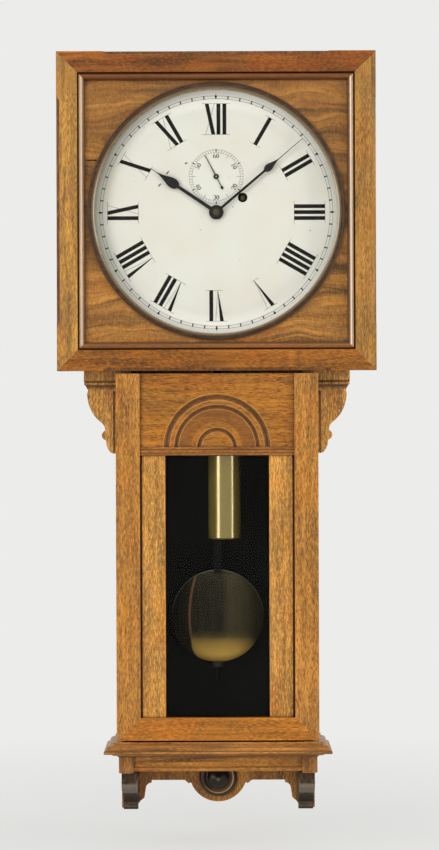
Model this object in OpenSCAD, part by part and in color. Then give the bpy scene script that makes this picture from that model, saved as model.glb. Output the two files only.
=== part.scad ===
// Regulator wall clock: a square dial case above a long glazed throat, with a pendulum,
// one brass weight and an eight-day timepiece train.
// Outlines are drawn from the dial centre, in millimetres. The clock is then lowered so
// that its hanger hole is at the origin, on the wall plane y = 0. The front is -Y, and a
// depth is a distance out from the wall.

/* [Dial case] */
// Diameter of the dial that shows inside the turned ring
dial_d = 355.6; // [340:0.1:400]
// Width of panel left between the turned ring and the frame of the dial door
panel_margin = 2.5; // [1:0.5:12]
// Thickness of the dial door
dial_door_t = 22; // [21:0.5:24]
// Depth of the dial case from the wall to the back of its door
box_depth = 108; // [107:0.5:112]
// How far each door stands out past the sides behind it
door_overhang = 8; // [7.5:0.5:9]
// Thickness of the case boards
board_t = 14; // [12:0.5:16]
// Thickness of the backboard
back_t = 10; // [9:0.5:12]
// Running gap between a closed door and the case
door_gap = 0.4; // [0.3:0.1:0.8]
// Depth of the hanger hole below the top of the case
hanger_drop = 27; // [24:1:34]

/* [Dial door] */
// Width of the flat face of the mitred frame
frame_flat = 30; // [27:0.5:32]
// Width of the bead inside the flat face
frame_bead = 11; // [9:0.5:12]
// Leg of the stopped chamfers on the outer edges
chamfer = 4.5; // [3:0.5:6]
// Distance from each corner at which the chamfers stop
chamfer_stop = 63; // [50:1:80]
// How far the panel lies behind the flat face
panel_set = 9; // [8:0.5:10]
// Thickness of the dial door panel
panel_t = 10; // [9:0.5:11]
// Radial width of the turned ring round the dial
ring_w = 8.7; // [8:0.1:10]
// How far the turned ring stands out of the panel
ring_out = 6; // [4:0.5:8]

/* [Throat and lower door] */
// Outer width of the throat case
throat_w = 276; // [272:1:280]
// Depth of the throat case from the wall
throat_depth = 104; // [103:0.5:106]
// Length of the throat below the dial case
throat_len = 543; // [538:1:555]
// Thickness of the lower door
door_t = 20; // [19:0.5:22]
// Width of the outer stiles of the lower door
stile_w = 34.5; // [32:0.5:36]
// Height of the mitred bottom rail
rail_h = 32.5; // [30:0.5:36]
// Height of the carved header panel
header_h = 106; // [100:1:110]
// Height of the rail under the header panel
header_rail_h = 12; // [11:0.5:18]
// Width of the inner sight stiles
sight_w = 33.5; // [30:0.5:35]
// Width of the shadow groove between outer and inner stiles
groove_w = 3; // [2:0.5:4]
// How far the inner stiles lie behind the outer ones
sight_set = 6; // [5:0.5:7]

/* [Base] */
// Thickness of the moulded base board
base_t = 22; // [20:0.5:24]
// Half width of the base board over its moulding
base_half = 164.5; // [160:0.5:170]
// Depth of the base board from the wall to its front edge
base_depth = 138; // [136:0.5:142]
// Height of the frieze under the base board
frieze_h = 22; // [20:0.5:24]
// Width of the blocks at the ends of the frieze
block_w = 22; // [20:0.5:24]
// Height of the dark corbels
corbel_h = 65; // [64:0.5:74]
// Radius of the turned roundel
roundel_r = 27.6; // [26:0.2:29]
// Reach of the upper brackets from the throat
bracket_w = 55.3; // [50:0.1:60]
// Height of the upper brackets
bracket_h = 126.5; // [110:0.5:140]

/* [Dial and hands] */
// How far the dial plate reaches behind the turned ring
dial_lap = 10.2; // [9:0.1:12]
// Thickness of the dial plate
dial_t = 1; // [0.8:0.1:1.5]
// Height of the seconds arbor above the centre
seconds_rise = 52; // [51:0.5:53]
// Gap between the tip of the minute hand and the turned ring
minute_inset = 13.8; // [10:0.1:20]
// Length of the hour hand from its hub
hour_len = 115; // [105:1:120]
// Length of the seconds hand from its hub
seconds_len = 35.5; // [32:0.5:37]
// Clock angle that the hour hand shows
hour_angle = 303.9; // [0:0.1:360]
// Clock angle that the minute hand shows
minute_angle = 49.8; // [0:0.1:360]
// Clock angle that the seconds hand shows
seconds_angle = 332.5; // [0:0.1:360]
// Radius of the winding hole in the dial
winding_hole_r = 7; // [6.5:0.1:7.5]

/* [Movement] */
// Thickness of the brass plates
plate_t = 2; // [1.8:0.1:2.5]
// Depth from the wall to the back of the back plate
plate_back = 43; // [42.5:0.5:43.5]
// Distance between the plates
plate_space = 38; // [37.5:0.5:39]
// Radial play of a pivot in its hole
pivot_play = 0.05; // [0.02:0.01:0.08]
// Module of the going train
train_m = 0.85; // [0.83:0.01:0.86]
// Module of the great wheel and the centre pinion
great_m = 0.846; // [0.84:0.002:0.85]
// Direction of the winding arbor from the centre, above the horizontal
great_dir = 29.4; // [28:0.1:31]
// Radius of the cable drum
drum_r = 11; // [10.5:0.1:11.5]
// Radius of the escape wheel
escape_r = 19; // [18:0.1:19.5]
// Height of the pallet arbor and of the pendulum's axis above the centre
pendulum_rise = 88; // [86:0.5:90]

/* [Pendulum and weight] */
// Distance from the pendulum's axis to the bob's centre
pendulum_len = 678; // [660:1:682]
// Radius of the brass bob
bob_r = 68; // [62:0.5:70]
// Thickness of the brass bob
bob_t = 26; // [22:0.5:27]
// Depth of the pendulum from the wall
pendulum_depth = 27; // [26.5:0.5:27.5]
// Width of the wooden pendulum rod
rod_w = 11; // [9:0.5:12]
// Radius of the weight
weight_r = 24; // [22:0.5:24.5]
// Length of the weight
weight_len = 170; // [160:1:175]
// Height of the pulley's axis below the dial centre
pulley_drop = 270; // [260:1:280]
// Radius of the cable
cable_r = 0.6; // [0.5:0.05:0.7]

/* [Hardware] */
// Distance of the hinge axes out from the case and back from the doors
hinge_out = 4; // [3.9:0.1:4.1]
// Radius of the hinge knuckles
knuckle_r = 3.5; // [3.2:0.1:3.6]
// Height of a hinge
hinge_h = 50; // [45:1:55]
// Radius of the hinge pins
pin_r = 1.5; // [1.3:0.1:1.7]
// Radius of the hanger hole
hanger_r = 4.5; // [4:0.1:5]
// Radius of the two steady screw holes
steady_r = 2.5; // [2:0.1:3]
// Half distance between the steady screw holes
steady_x = 100; // [95:1:104]

/* [Hidden] */
$fn = 96;
slip = 0.05;
eps = 1;

oak = "#c48c46";
oak_panel = "#a9783f";
dark_wood = "#3c2f22";
brass = "#b8934a";
steel = "#8c9094";
blued = "#2c2a28";

// Case
dial_door_w = dial_d + 2 * (ring_w + panel_margin + frame_bead + frame_flat);
box_half = dial_door_w / 2 - door_overhang;
hanger_rise = box_half - hanger_drop;
throat_half = throat_w / 2;
throat_in = throat_half - board_t;
throat_bottom = -box_half - throat_len;
back_half = throat_half + 5;
rail_front_t = 12;
steady_z = throat_bottom + 25;
hanger_half = 25;
hanger_plate_h = 24;
hanger_t = 2.5;
hanger_clear_r = 9;
bracket_back = 64;
bracket_front = 86;
bracket_drop = 1;
bracket_drawn_w = 55.3;
bracket_drawn_h = 126.5;
cap_out = 5.5;
cove_w = 13;
cove_t = 4;

// Dial door
dial_door_back = box_depth + door_gap;
dial_door_front = dial_door_back + dial_door_t;
panel_front = dial_door_front - panel_set;
panel_back = panel_front - panel_t;
panel_half = dial_door_w / 2 - frame_flat - frame_bead / 4;
chamfer_half = dial_door_w / 2 - chamfer_stop;
ring_in = dial_d / 2;
ring_spigot = 4;
panel_hole_r = ring_in + ring_spigot + slip;
glass_t = 2;
glass_back = panel_back;
mitre_gap = 0.1;

// Lower door. Each groove of the fan carved in its header panel has the radius that it runs
// at, the radius of its own round and how far that round's middle lies out of the panel
fan_grooves = [[72.9, 4.1, 0.5], [58.8, 2.95, -0.5], [25.8, 2.95, -0.2]];
fan_ridges = [[28.4, 37.6], [61.4, 69]];
fan_set = 0.9;
fan_drop = 0.8;
door_back = throat_depth + door_gap;
door_front = door_back + door_t;
door_half = throat_half + door_overhang;
door_top = -dial_door_w / 2 - 4;
door_bottom = throat_bottom + 2;
rail_top = door_bottom + rail_h;
header_bottom = door_top - header_h;
window_top = header_bottom - header_rail_h;
stile_in = door_half - stile_w;
sight_out = stile_in - groove_w;
sight_in = sight_out - sight_w;
sight_front = door_front - sight_set;
header_front = sight_front + 0.6;
header_rail_front = door_front - 3;
glass_rebate = 10;
glass_front = door_back + 6;

// Base
base_bottom = throat_bottom - base_t;
frieze_bottom = base_bottom - frieze_h;
block_drop = 2;
corbel_top = frieze_bottom - block_drop;
corbel_bottom = corbel_top - corbel_h;
frieze_front = 110;
block_front = 118;
corbel_front = 112;
frieze_bead_r = 3.2;
block_out = back_half + 0.5;
corbel_out = back_half - 3;
corbel_w = 21.5;
apron_z = frieze_bottom - 26;
roundel_z = frieze_bottom - 22;

// Dial and hands
dial_plate_d = dial_d + 2 * dial_lap;
minute_len = dial_d / 2 - minute_inset;
minute_leaf = minute_len * 0.61;
hour_leaf = hour_len * 0.67;
dial_front = 98;
dial_back = dial_front - dial_t;
batten_in = throat_in;
batten_w = 24;
batten_t = 14;
screw_r = 1.6;
screw_head_r = 3.2;
dial_screw_x = batten_in + batten_w / 2;
dial_screw_r = dial_d / 2 + 5.5;
dial_screw_z = sqrt(dial_screw_r * dial_screw_r - dial_screw_x * dial_screw_x);
hour_depth = 102;
minute_depth = 105;
seconds_depth = dial_front + 1.2;
hand_t = 1;
seconds_t = 0.6;
seconds_hole_r = 3;
centre_hole_gap = 1.5;
nut_r = 5;
nut_t = 1.2;

// Movement: depths of the wheels, and places of the arbors
plate_front = plate_back + plate_t;
front_plate_back = plate_front + plate_space;
front_plate_front = front_plate_back + plate_t;
pillar_left = 42;
pillar_right = 78;
pillar_low = 28;
pillar_x = [-pillar_left, pillar_right];
pillar_z = [-pillar_low, pendulum_rise + 8];
pillar_end_r = 2.4;
plate_edge = 6;
seat_t = 4;
seat_margin = 14;
post_r = 5;
great_n = 96;
centre_pinion_n = 8;
centre_n = 64;
third_pinion_n = 8;
third_n = 60;
escape_pinion_n = 8;
escape_n = 37;
cannon_n = 12;
minute_n = 36;
minute_pinion_n = 10;
hour_n = 40;
motion_m = 0.75;
minute_drop = motion_m * (cannon_n + minute_n) / 2;
hour_m = 2 * minute_drop / (minute_pinion_n + hour_n);
great_a = great_m * (great_n + centre_pinion_n) / 2;
great_x = great_a * cos(great_dir);
great_z = great_a * sin(great_dir);
third_a = train_m * (centre_n + third_pinion_n) / 2;
escape_a = train_m * (third_n + escape_pinion_n) / 2;
third_dir = 90 + acos(
    (third_a * third_a + seconds_rise * seconds_rise - escape_a * escape_a)
    / (2 * third_a * seconds_rise));
third_x = third_a * cos(third_dir);
third_z = third_a * sin(third_dir);
escape_dir = atan2(seconds_rise - third_z, -third_x);
arbor_r = 2.5;
arbor_play = 0.02;
pipe_r = 3.5;
hour_pipe_r = 5;
pivot_r = 1;
stud_r = 1.5;
centre_end_r = 2.2;
seconds_arbor_r = 1.2;
verge_arbor_r = 2;
drum_arbor_r = 3.5;
ratchet_r = 14.5;
click_r = ratchet_r + 3.5;
winding_square = 4.6;
centre_wheel_d = [50, 51.5];
great_wheel_d = [56, 58.5];
third_wheel_d = [63, 64.5];
escape_wheel_d = [75, 76.5];
minute_wheel_d = [87.5, 89.5];
hour_wheel_d = [91, 92.5];
drum_d = [60, front_plate_back - 1];
winding_tip = dial_back - 4;

// Pendulum and weight
bob_z = pendulum_rise - pendulum_len;
rod_t = 8;
crutch_back = pendulum_depth + rod_t / 2 + 1;
rating_screw_r = 2;
rod_foot = 12;
rod_top = pendulum_rise - 12;
spring_t = 0.3;
spring_w = 12;
spring_top = pendulum_rise + 11;
spring_bottom = rod_top - 6;
rating_top = bob_z - bob_r;
pulley_run = 16.2;
weight_x = great_x - drum_r - cable_r - slip - pulley_run;
weight_depth = (drum_d[0] + drum_d[1]) / 2;
pulley_r = 18;
pulley_t = 10;
axle_r = 2;
stirrup_len = 34.7;
stirrup_half = 6;
weight_top = -pulley_drop - stirrup_len;
cable_x = weight_x - pulley_run;
hook_z = -31;
hook_end = hook_z - 10;

// Hinges
dial_hinge_x = box_half + hinge_out;
dial_hinge_d = dial_door_back - hinge_out;
hinge_inset = 70;
dial_hinge_z = [-dial_door_w / 2 + hinge_inset, dial_door_w / 2 - hinge_inset];
door_hinge_x = throat_half + hinge_out;
door_hinge_d = door_back - hinge_out;
door_hinge_inset = 60;
door_hinge_z = [door_bottom + door_hinge_inset, door_top - door_hinge_inset];
leaf_t = 1.5;
leaf_w = 12;
leaf_lip = 2;
knuckle_gap = 0.3;
knuckle_h = (hinge_h - 2 * knuckle_gap) / 3;
catch_r = 3;
catch_depth = 10;
strike_r = 3.4;
strike_depth = 5;
dial_catch_x = -(box_half - board_t / 2);
door_catch_x = -(throat_half - board_t / 2);
door_catch_z = (door_top + door_bottom) / 2;

// Points of an arc, from angle a0 to a1
function arc(cx, cz, r, a0, a1, n = 8) =
    [for (i = [0:n]) let (a = a0 + (a1 - a0) * i / n) [cx + r * cos(a), cz + r * sin(a)]];
// Points of a cubic curve through p0 and p3
function curve(p0, p1, p2, p3, n = 10) =
    [for (i = [0:n]) let (t = i / n, s = 1 - t)
        s * s * s * p0 + 3 * s * s * t * p1 + 3 * s * t * t * p2 + t * t * t * p3];
// Mirror image of an outline's half, in the opposite order
function mirrored(p) = [for (i = [len(p) - 1:-1:0]) [-p[i][0], p[i][1]]];

// The clock hangs with its hanger hole at the origin
module hung() translate([0, 0, -hanger_rise]) children();
// A board between two x values, two depths and two heights
module board(x0, x1, d0, d1, z0, z1)
    translate([x0, -d1, z0]) cube([x1 - x0, d1 - d0, z1 - z0]);
// An outline drawn as seen from the front, between two depths
module slab(d0, d1) translate([0, -d0, 0]) rotate([90, 0, 0]) linear_extrude(d1 - d0) children();
// A profile of radius and depth, turned about an axis that runs front to back
module turned(x = 0, z = 0) translate([x, 0, z]) rotate([90, 0, 0]) rotate_extrude() children();
// A round bar that runs front to back
module bar(r, d0, d1, x = 0, z = 0)
    translate([x, -d0, z]) rotate([90, 0, 0]) cylinder(r = r, h = d1 - d0);
// A profile of depth and height, extruded between two x values
module run(x0, x1) translate([x0, 0, 0]) rotate([90, 0, 90]) linear_extrude(x1 - x0) children();
module both_sides() {
    children();
    mirror([1, 0, 0]) children();
}

// Outline of the backboard with its scalloped lower end
module backboard_outline() {
    flat_in = 52;
    flat_out = 99;
    lobe_r = 43;
    foot_r = 8.7;
    foot_in = flat_out + foot_r;
    half = concat(
        [[0, box_half], [back_half, box_half], [back_half, corbel_bottom],
            [foot_in + 15, corbel_bottom], [foot_in + 8, apron_z - 31],
            [foot_in + 2, apron_z - 26]],
        arc(flat_out, apron_z - 4 - foot_r, foot_r, 0, 90),
        [[flat_out, apron_z]],
        arc(flat_in, apron_z - 6, 6, 90, 150),
        [[lobe_r + 0.5, apron_z - 5]],
        arc(0, apron_z + 11, lobe_r, -20, -90, 16));
    polygon(concat(half, mirrored(half)));
}

module backboard() color(oak_panel) hung() difference() {
    slab(0, back_t) backboard_outline();
    bar(hanger_clear_r, -eps, back_t + eps, 0, hanger_rise);
    board(-hanger_half - slip, hanger_half + slip, -eps, hanger_t,
        hanger_rise - hanger_plate_h / 2 - slip, hanger_rise + hanger_plate_h / 2 + slip);
    for (x = [-steady_x, steady_x])
        bar(steady_r, -eps, back_t + eps, x, steady_z);
}

// Steel plate let into the back of the backboard, with the hole that the clock hangs by
module hanger_plate() color(steel) hung() difference() {
    board(-hanger_half, hanger_half, 0, hanger_t,
        hanger_rise - hanger_plate_h / 2, hanger_rise + hanger_plate_h / 2);
    bar(hanger_r, -eps, hanger_t + eps, 0, hanger_rise);
}

module back_wings() color(oak_panel) hung() both_sides()
    board(back_half, box_half - board_t, 0, back_t, -box_half, box_half);

module box_sides() color(oak) hung() difference() {
    both_sides() board(box_half - board_t, box_half, 0, box_depth, -box_half, box_half);
    bar(strike_r + slip, box_depth - strike_depth, box_depth + eps, dial_catch_x, 0);
}

// Top board, the two bottom boards and the rail in front of the throat
module box_boards() color(oak) hung() {
    board(-box_half + board_t, box_half - board_t, back_t, box_depth,
        box_half - board_t, box_half);
    both_sides() board(throat_in, box_half - board_t, back_t, box_depth,
        -box_half, -box_half + board_t);
    board(-throat_in + slip, throat_in - slip, box_depth - rail_front_t, box_depth,
        -box_half, -box_half + board_t);
}

module case_sides() color(oak) hung() difference() {
    both_sides() board(throat_in, throat_half, back_t, throat_depth, throat_bottom, -box_half);
    bar(strike_r + slip, throat_depth - strike_depth, throat_depth + eps,
        door_catch_x, door_catch_z);
}

// Edge moulding of the base board, as an outline of reach and height
function base_edge(reach) = let (t = throat_bottom, b = base_bottom) concat(
    [[0, t], [reach - 13, t], [reach - 13, t - 3.5], [reach - 12, t - 4]],
    curve([reach - 12, t - 4], [reach - 8, t - 4], [reach - 4.6, t - 6], [reach - 4.5, t - 10.5], 6),
    [[reach - 4, t - 11], [reach - 2, t - 11.4], [reach - 0.4, t - 12.6], [reach, t - 14]],
    [[reach, t - 15.5], [reach - 1.5, t - 16.6]],
    curve([reach - 1.5, t - 16.6], [reach - 6, t - 16.8], [reach - 11, t - 17], [reach - 13, t - 19.4], 6),
    [[reach - 14, t - 19.6], [reach - 19, t - 20.6], [reach - 19.5, b], [0, b]]);

module base_board() color(oak) hung() intersection() {
    run(-base_half, base_half) mirror([1, 0]) difference() {
        polygon(base_edge(base_depth));
        translate([-eps, base_bottom - eps]) square([back_t + eps, base_t + 2 * eps]);
    }
    translate([0, -back_t + eps, 0]) rotate([90, 0, 0]) linear_extrude(base_depth)
        polygon(concat(base_edge(base_half), mirrored(base_edge(base_half))));
}

// Front rail with its lower bead, and the two side rails
module frieze_rails() color(oak) hung() {
    block_in = block_out - block_w;
    run(-block_in, block_in) mirror([1, 0]) union() {
        translate([frieze_front - rail_front_t, frieze_bottom]) square([rail_front_t, frieze_h]);
        translate([frieze_front, frieze_bottom + frieze_bead_r]) circle(r = frieze_bead_r, $fn = 32);
    }
    both_sides() board(block_out - rail_front_t, block_out, back_t, frieze_front - rail_front_t,
        corbel_top, base_bottom);
}

// Blocks at the corners, with canted front edges
module frieze_blocks() color(oak) hung() both_sides() {
    block_back = frieze_front - rail_front_t;
    cant = 5;
    translate([block_out - block_w / 2, 0, corbel_top])
        linear_extrude(base_bottom - corbel_top) polygon([
            [-block_w / 2, -block_back], [block_w / 2, -block_back],
            [block_w / 2, -block_front + cant], [block_w / 2 - cant, -block_front],
            [-block_w / 2 + cant, -block_front], [-block_w / 2, -block_front + cant]]);
}

// Side outline of a corbel, as depth and height
function corbel_side() = let (t = corbel_top, b = corbel_bottom) concat(
    [[back_t, t], [corbel_front - 6, t]],
    curve([corbel_front - 6, t], [corbel_front - 9, t - 5], [corbel_front - 9, t - 9],
        [corbel_front - 6, t - 12], 5),
    curve([corbel_front - 6, t - 12], [corbel_front + 2, t - 19], [104, t - 32], [62, t - 36]),
    [[61, t - 39], [55, t - 40]],
    curve([55, t - 40], [42, t - 42], [34, t - 46], [32, t - 52], 6),
    [[27, t - 53], [25, t - 56.5], [28, t - 59], [24, b], [back_t, b]]);

module lower_corbels() color(dark_wood) hung() both_sides()
    run(corbel_out - corbel_w, corbel_out) mirror([1, 0]) polygon(corbel_side());

module apron_roundel() color(dark_wood) hung() turned(0, roundel_z) {
    boss_r = 16.5;
    polygon(concat(
        [[0, back_t], [roundel_r, back_t], [roundel_r, back_t + 3]],
        curve([roundel_r, back_t + 3], [roundel_r - 1, back_t + 8], [boss_r + 5, back_t + 8],
            [boss_r + 3.5, back_t + 5], 6),
        [[boss_r + 1.5, back_t + 3.5], [boss_r, back_t + 4]],
        curve([boss_r, back_t + 4], [boss_r, back_t + 14], [6, back_t + 14],
            [3.5, back_t + 16], 8),
        arc(0, back_t + 17, 3.5, -10, 90, 5)));
}

// Outline of an upper bracket, as reach from the throat side and height below the case
function bracket_points() = concat(
    [[0, 0], [49.8, 0], [49.8, -35.5]],
    curve([50.8, -38], [51.5, -52], [45, -66], [39.2, -73]),
    curve([37, -75.5], [30, -83], [25.2, -83], [24.8, -92.7], 6),
    arc(22.6, -100, 7.2, 60, -60, 6),
    curve([23.5, -107.5], [23.5, -114], [22, -119], [17, -125], 5),
    [[13, -126.5], [0, -126.5]]);
function bracket_edge() = [for (p = bracket_points()) [
    throat_half + p[0] * bracket_w / bracket_drawn_w,
    -box_half - bracket_drop + p[1] * bracket_h / bracket_drawn_h]];
// Moulded edge of a bracket's cap, as reach and height: a flat band, a bead and a cove
function cap_edge(reach) = [for (p = concat(
        [[0, 0], [reach, 0], [reach, -22]],
        arc(reach - 2.8, -24.8, 2.8, 70, -40, 5),
        [[reach - 2.8, -28.3]],
        curve([reach - 2.8, -28.3], [reach - 3.8, -33], [reach - 5.7, -32],
            [reach - cap_out, -35.5], 5),
        [[0, -35.5]]))
    [p[0], -box_half - bracket_drop + p[1] * bracket_h / bracket_drawn_h]];

module upper_brackets() color(oak) hung() both_sides() {
    cap_foot = -box_half - bracket_drop - 35.5 * bracket_h / bracket_drawn_h;
    difference() {
        slab(bracket_back, bracket_front) polygon(bracket_edge());
        board(throat_half - eps, throat_half + cove_w, bracket_front - cove_t,
            bracket_front + eps, -box_half - bracket_h - eps, cap_foot);
    }
    intersection() {
        run(throat_half, throat_half + bracket_w) mirror([1, 0])
            polygon(cap_edge(bracket_front + cap_out));
        slab(bracket_back, bracket_front + cap_out)
            translate([throat_half, 0]) polygon(cap_edge(bracket_w));
    }
}

// Zinc dial plate with its holes
module dial() color("#e8e6dd") hung() difference() {
    bar(dial_plate_d / 2, dial_back, dial_front);
    bar(hour_pipe_r + centre_hole_gap, dial_back - eps, dial_front + eps);
    bar(seconds_hole_r, dial_back - eps, dial_front + eps, 0, seconds_rise);
    bar(winding_hole_r, dial_back - eps, dial_front + eps, great_x, great_z);
    for (x = [-dial_screw_x, dial_screw_x], z = [-dial_screw_z, dial_screw_z])
        bar(screw_r + slip, dial_back - eps, dial_front + eps, x, z);
}

module dial_battens() color(oak_panel) hung() difference() {
    both_sides() board(batten_in, batten_in + batten_w, dial_back - batten_t, dial_back,
        -box_half + board_t, box_half - board_t);
    for (x = [-dial_screw_x, dial_screw_x], z = [-dial_screw_z, dial_screw_z])
        bar(screw_r + slip, dial_back - 10, dial_front + eps, x, z);
}

// Screws that hold the dial to its battens
module round_head_screws() color(steel) hung()
    for (x = [-dial_screw_x, dial_screw_x], z = [-dial_screw_z, dial_screw_z])
        turned(x, z) polygon(concat(
            [[0, dial_back - 9], [screw_r, dial_back - 7.5], [screw_r, dial_front],
                [screw_head_r, dial_front]],
            curve([screw_head_r, dial_front], [screw_head_r, dial_front + 1.6],
                [1.5, dial_front + 2], [0, dial_front + 2], 5)));

// Cast seat on the backboard, with four posts that leave room for the pendulum rod
module movement_seat() color("#35332f") hung() {
    board(pillar_x[0] - seat_margin, pillar_x[1] + seat_margin, back_t, back_t + seat_t,
        pillar_z[0] - seat_margin, pillar_z[1] + seat_margin);
    for (x = pillar_x, z = pillar_z) bar(post_r, back_t + seat_t - eps, plate_back, x, z);
}

module plate_blank(d0, d1) board(pillar_x[0] - plate_edge, pillar_x[1] + plate_edge, d0, d1,
    pillar_z[0] - plate_edge, pillar_z[1] + plate_edge);

// Holes through the back plate and through the front plate
module back_hole(r, x = 0, z = 0) bar(r, plate_back - eps, plate_front + eps, x, z);
module front_hole(r, x = 0, z = 0) bar(r, front_plate_back - eps, front_plate_front + eps, x, z);

module movement_plates() color(brass) hung() {
    difference() {
        plate_blank(plate_back, plate_front);
        back_hole(pivot_r + pivot_play);
        back_hole(pivot_r + pivot_play, third_x, third_z);
        back_hole(pivot_r + pivot_play, 0, seconds_rise);
        back_hole(arbor_r + pivot_play, great_x, great_z);
        back_hole(verge_arbor_r + pivot_play, 0, pendulum_rise);
        for (x = pillar_x, z = pillar_z) back_hole(pillar_end_r + slip, x, z);
    }
    difference() {
        plate_blank(front_plate_back, front_plate_front);
        front_hole(arbor_r + pivot_play);
        front_hole(pivot_r + pivot_play, third_x, third_z);
        front_hole(seconds_arbor_r + pivot_play, 0, seconds_rise);
        front_hole(drum_arbor_r + pivot_play, great_x, great_z);
        front_hole(pivot_r + pivot_play, 0, pendulum_rise);
        front_hole(stud_r + slip, 0, -minute_drop);
        for (x = pillar_x, z = pillar_z) front_hole(pillar_end_r + slip, x, z);
    }
}

// Turned pillars with their nuts, and the stud of the minute wheel
module plate_pillars() color(brass) hung() {
    for (x = pillar_x, z = pillar_z) {
        turned(x, z) polygon([
            [0, plate_back], [pillar_end_r, plate_back], [pillar_end_r, plate_front],
            [6, plate_front], [6, plate_front + 3], [4, plate_front + 5],
            [4, front_plate_back - 5], [6, front_plate_back - 3], [6, front_plate_back],
            [pillar_end_r, front_plate_back], [pillar_end_r, front_plate_front + 4],
            [0, front_plate_front + 4]]);
        difference() {
            bar(5, front_plate_front, front_plate_front + 3, x, z);
            bar(pillar_end_r + slip, front_plate_front - eps, front_plate_front + 4, x, z);
        }
    }
    bar(stud_r, front_plate_back, hour_wheel_d[1] + 1, 0, -minute_drop);
}

// Cock that clamps the top of the suspension spring
module suspension_cock() color(brass) hung() difference() {
    board(-10, 10, back_t + seat_t, pendulum_depth + 4, pendulum_rise + 6, pendulum_rise + 20);
    board(-spring_w / 2 - slip, spring_w / 2 + slip,
        pendulum_depth - spring_t / 2 - slip, pendulum_depth + spring_t / 2 + slip,
        pendulum_rise, spring_top + slip);
}

// Cross bar between the plates, with the link that the cable ends in
module cable_hook() color(steel) hung() {
    bar(2, plate_front, front_plate_back, cable_x, hook_z);
    translate([cable_x, -weight_depth, hook_end]) cylinder(r = 1.2, h = hook_z - hook_end);
}

// A gear outline. The middle of a tooth points along phase. The teeth are thin, so that
// wheels that share a line of centres never touch, whatever their angle
function gear_points(n, m, phase, up, down, thick) = let (
        r = n * m / 2,
        half = thick * 180 / n)
    [for (i = [0:n - 1], k = [0:5]) let (
            a = phase + 360 * i / n,
            s = k < 3 ? -1 : 1,
            j = k < 3 ? k : 5 - k,
            q = [r - down * m, r, r + up * m][j],
            w = [1.05, 1, 0.5][j] * half)
        [q * cos(a + s * w), q * sin(a + s * w)]];
module wheel_outline(n, m, phase) polygon(gear_points(n, m, phase, 0.75, 0.9, 0.36));
module pinion_outline(n, m, phase) polygon(gear_points(n, m, phase, 0.5, 1.1, 0.34));
// Turns the tooth that would point at angle a into a gap there
function gap_at(a, n) = a + 180 / n;

// Crossings of a wheel: spaces left between the rim, the hub and the arms
module crossings(r_in, r_out, arms, arm_w) difference() {
    circle(r = r_out);
    circle(r = r_in);
    for (i = [0:arms - 1]) rotate(i * 360 / arms) translate([0, -arm_w / 2]) square([r_out + eps, arm_w]);
}

// Centre arbor with its pinion and the centre wheel
module centre_arbor() color(brass) hung() {
    turned() polygon([
        [0, plate_back], [pivot_r, plate_back], [pivot_r, plate_front + 0.2],
        [arbor_r, plate_front + 0.2], [arbor_r, front_plate_front + 0.6],
        [centre_end_r, front_plate_front + 0.6], [centre_end_r, minute_depth + 3],
        [0, minute_depth + 3]]);
    slab(great_wheel_d[0] - 0.5, great_wheel_d[1] + 0.5)
        pinion_outline(centre_pinion_n, great_m, gap_at(great_dir, centre_pinion_n));
    slab(centre_wheel_d[0], centre_wheel_d[1]) difference() {
        wheel_outline(centre_n, train_m, third_dir);
        crossings(7, train_m * centre_n / 2 - 4, 4, 4);
    }
    bar(5, centre_wheel_d[0] - 1, centre_wheel_d[1] + 1.5);
}

module cannon_pinion() color(brass) hung() difference() {
    union() {
        slab(minute_wheel_d[0] - 0.5, minute_wheel_d[1] + 0.5)
            pinion_outline(cannon_n, motion_m, -90);
        bar(pipe_r, front_plate_front + 1, minute_depth);
        bar(2.9, minute_depth - eps, minute_depth + hand_t);
    }
    bar(centre_end_r + arbor_play, front_plate_front, minute_depth + 5);
}

// Outline of a hand with a pear-shaped leaf, pointing up
module leaf_hand(reach, leaf, leaf_r, bar_w, hub_r, bore_r) difference() {
    half = concat(
        [[bar_w / 2, 0], [bar_w / 2 * 0.85, leaf - leaf_r * 1.5]],
        curve([bar_w / 2 * 0.85, leaf - leaf_r * 1.5], [leaf_r, leaf - leaf_r * 1.3],
            [leaf_r * 1.2, leaf - leaf_r * 0.1], [leaf_r * 0.85, leaf + leaf_r * 0.8], 8),
        curve([leaf_r * 0.85, leaf + leaf_r * 0.8], [leaf_r * 0.4, leaf + leaf_r * 2],
            [0.9, leaf + leaf_r * 3], [0.6, leaf + leaf_r * 3.6], 8),
        [[0.35, reach]]);
    union() {
        circle(r = hub_r);
        polygon(concat(half, mirrored(half)));
    }
    circle(r = bore_r);
}

module minute_hand() color(blued) hung() slab(minute_depth, minute_depth + hand_t)
    rotate(-minute_angle) leaf_hand(minute_len, minute_leaf, 5.2, 4, 9.5, 2.95);

module hour_hand() color(blued) hung() slab(hour_depth, hour_depth + hand_t)
    rotate(-hour_angle) leaf_hand(hour_len, hour_leaf, 7.2, 5.4, 10.6, hour_pipe_r + arbor_play);

module hand_nut() color(steel) hung() difference() {
    bar(nut_r, minute_depth + hand_t, minute_depth + hand_t + nut_t);
    bar(centre_end_r + arbor_play, minute_depth, minute_depth + 5);
    board(-6, 6, minute_depth + hand_t + 0.7, minute_depth + 5, -0.5, 0.5);
}

module hour_wheel() color(brass) hung() difference() {
    union() {
        slab(hour_wheel_d[0], hour_wheel_d[1])
            wheel_outline(hour_n, hour_m, gap_at(-90, hour_n));
        bar(hour_pipe_r, hour_wheel_d[0], hour_depth + hand_t);
    }
    bar(pipe_r + pivot_play, hour_wheel_d[0] - eps, hour_depth + 5);
}

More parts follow.
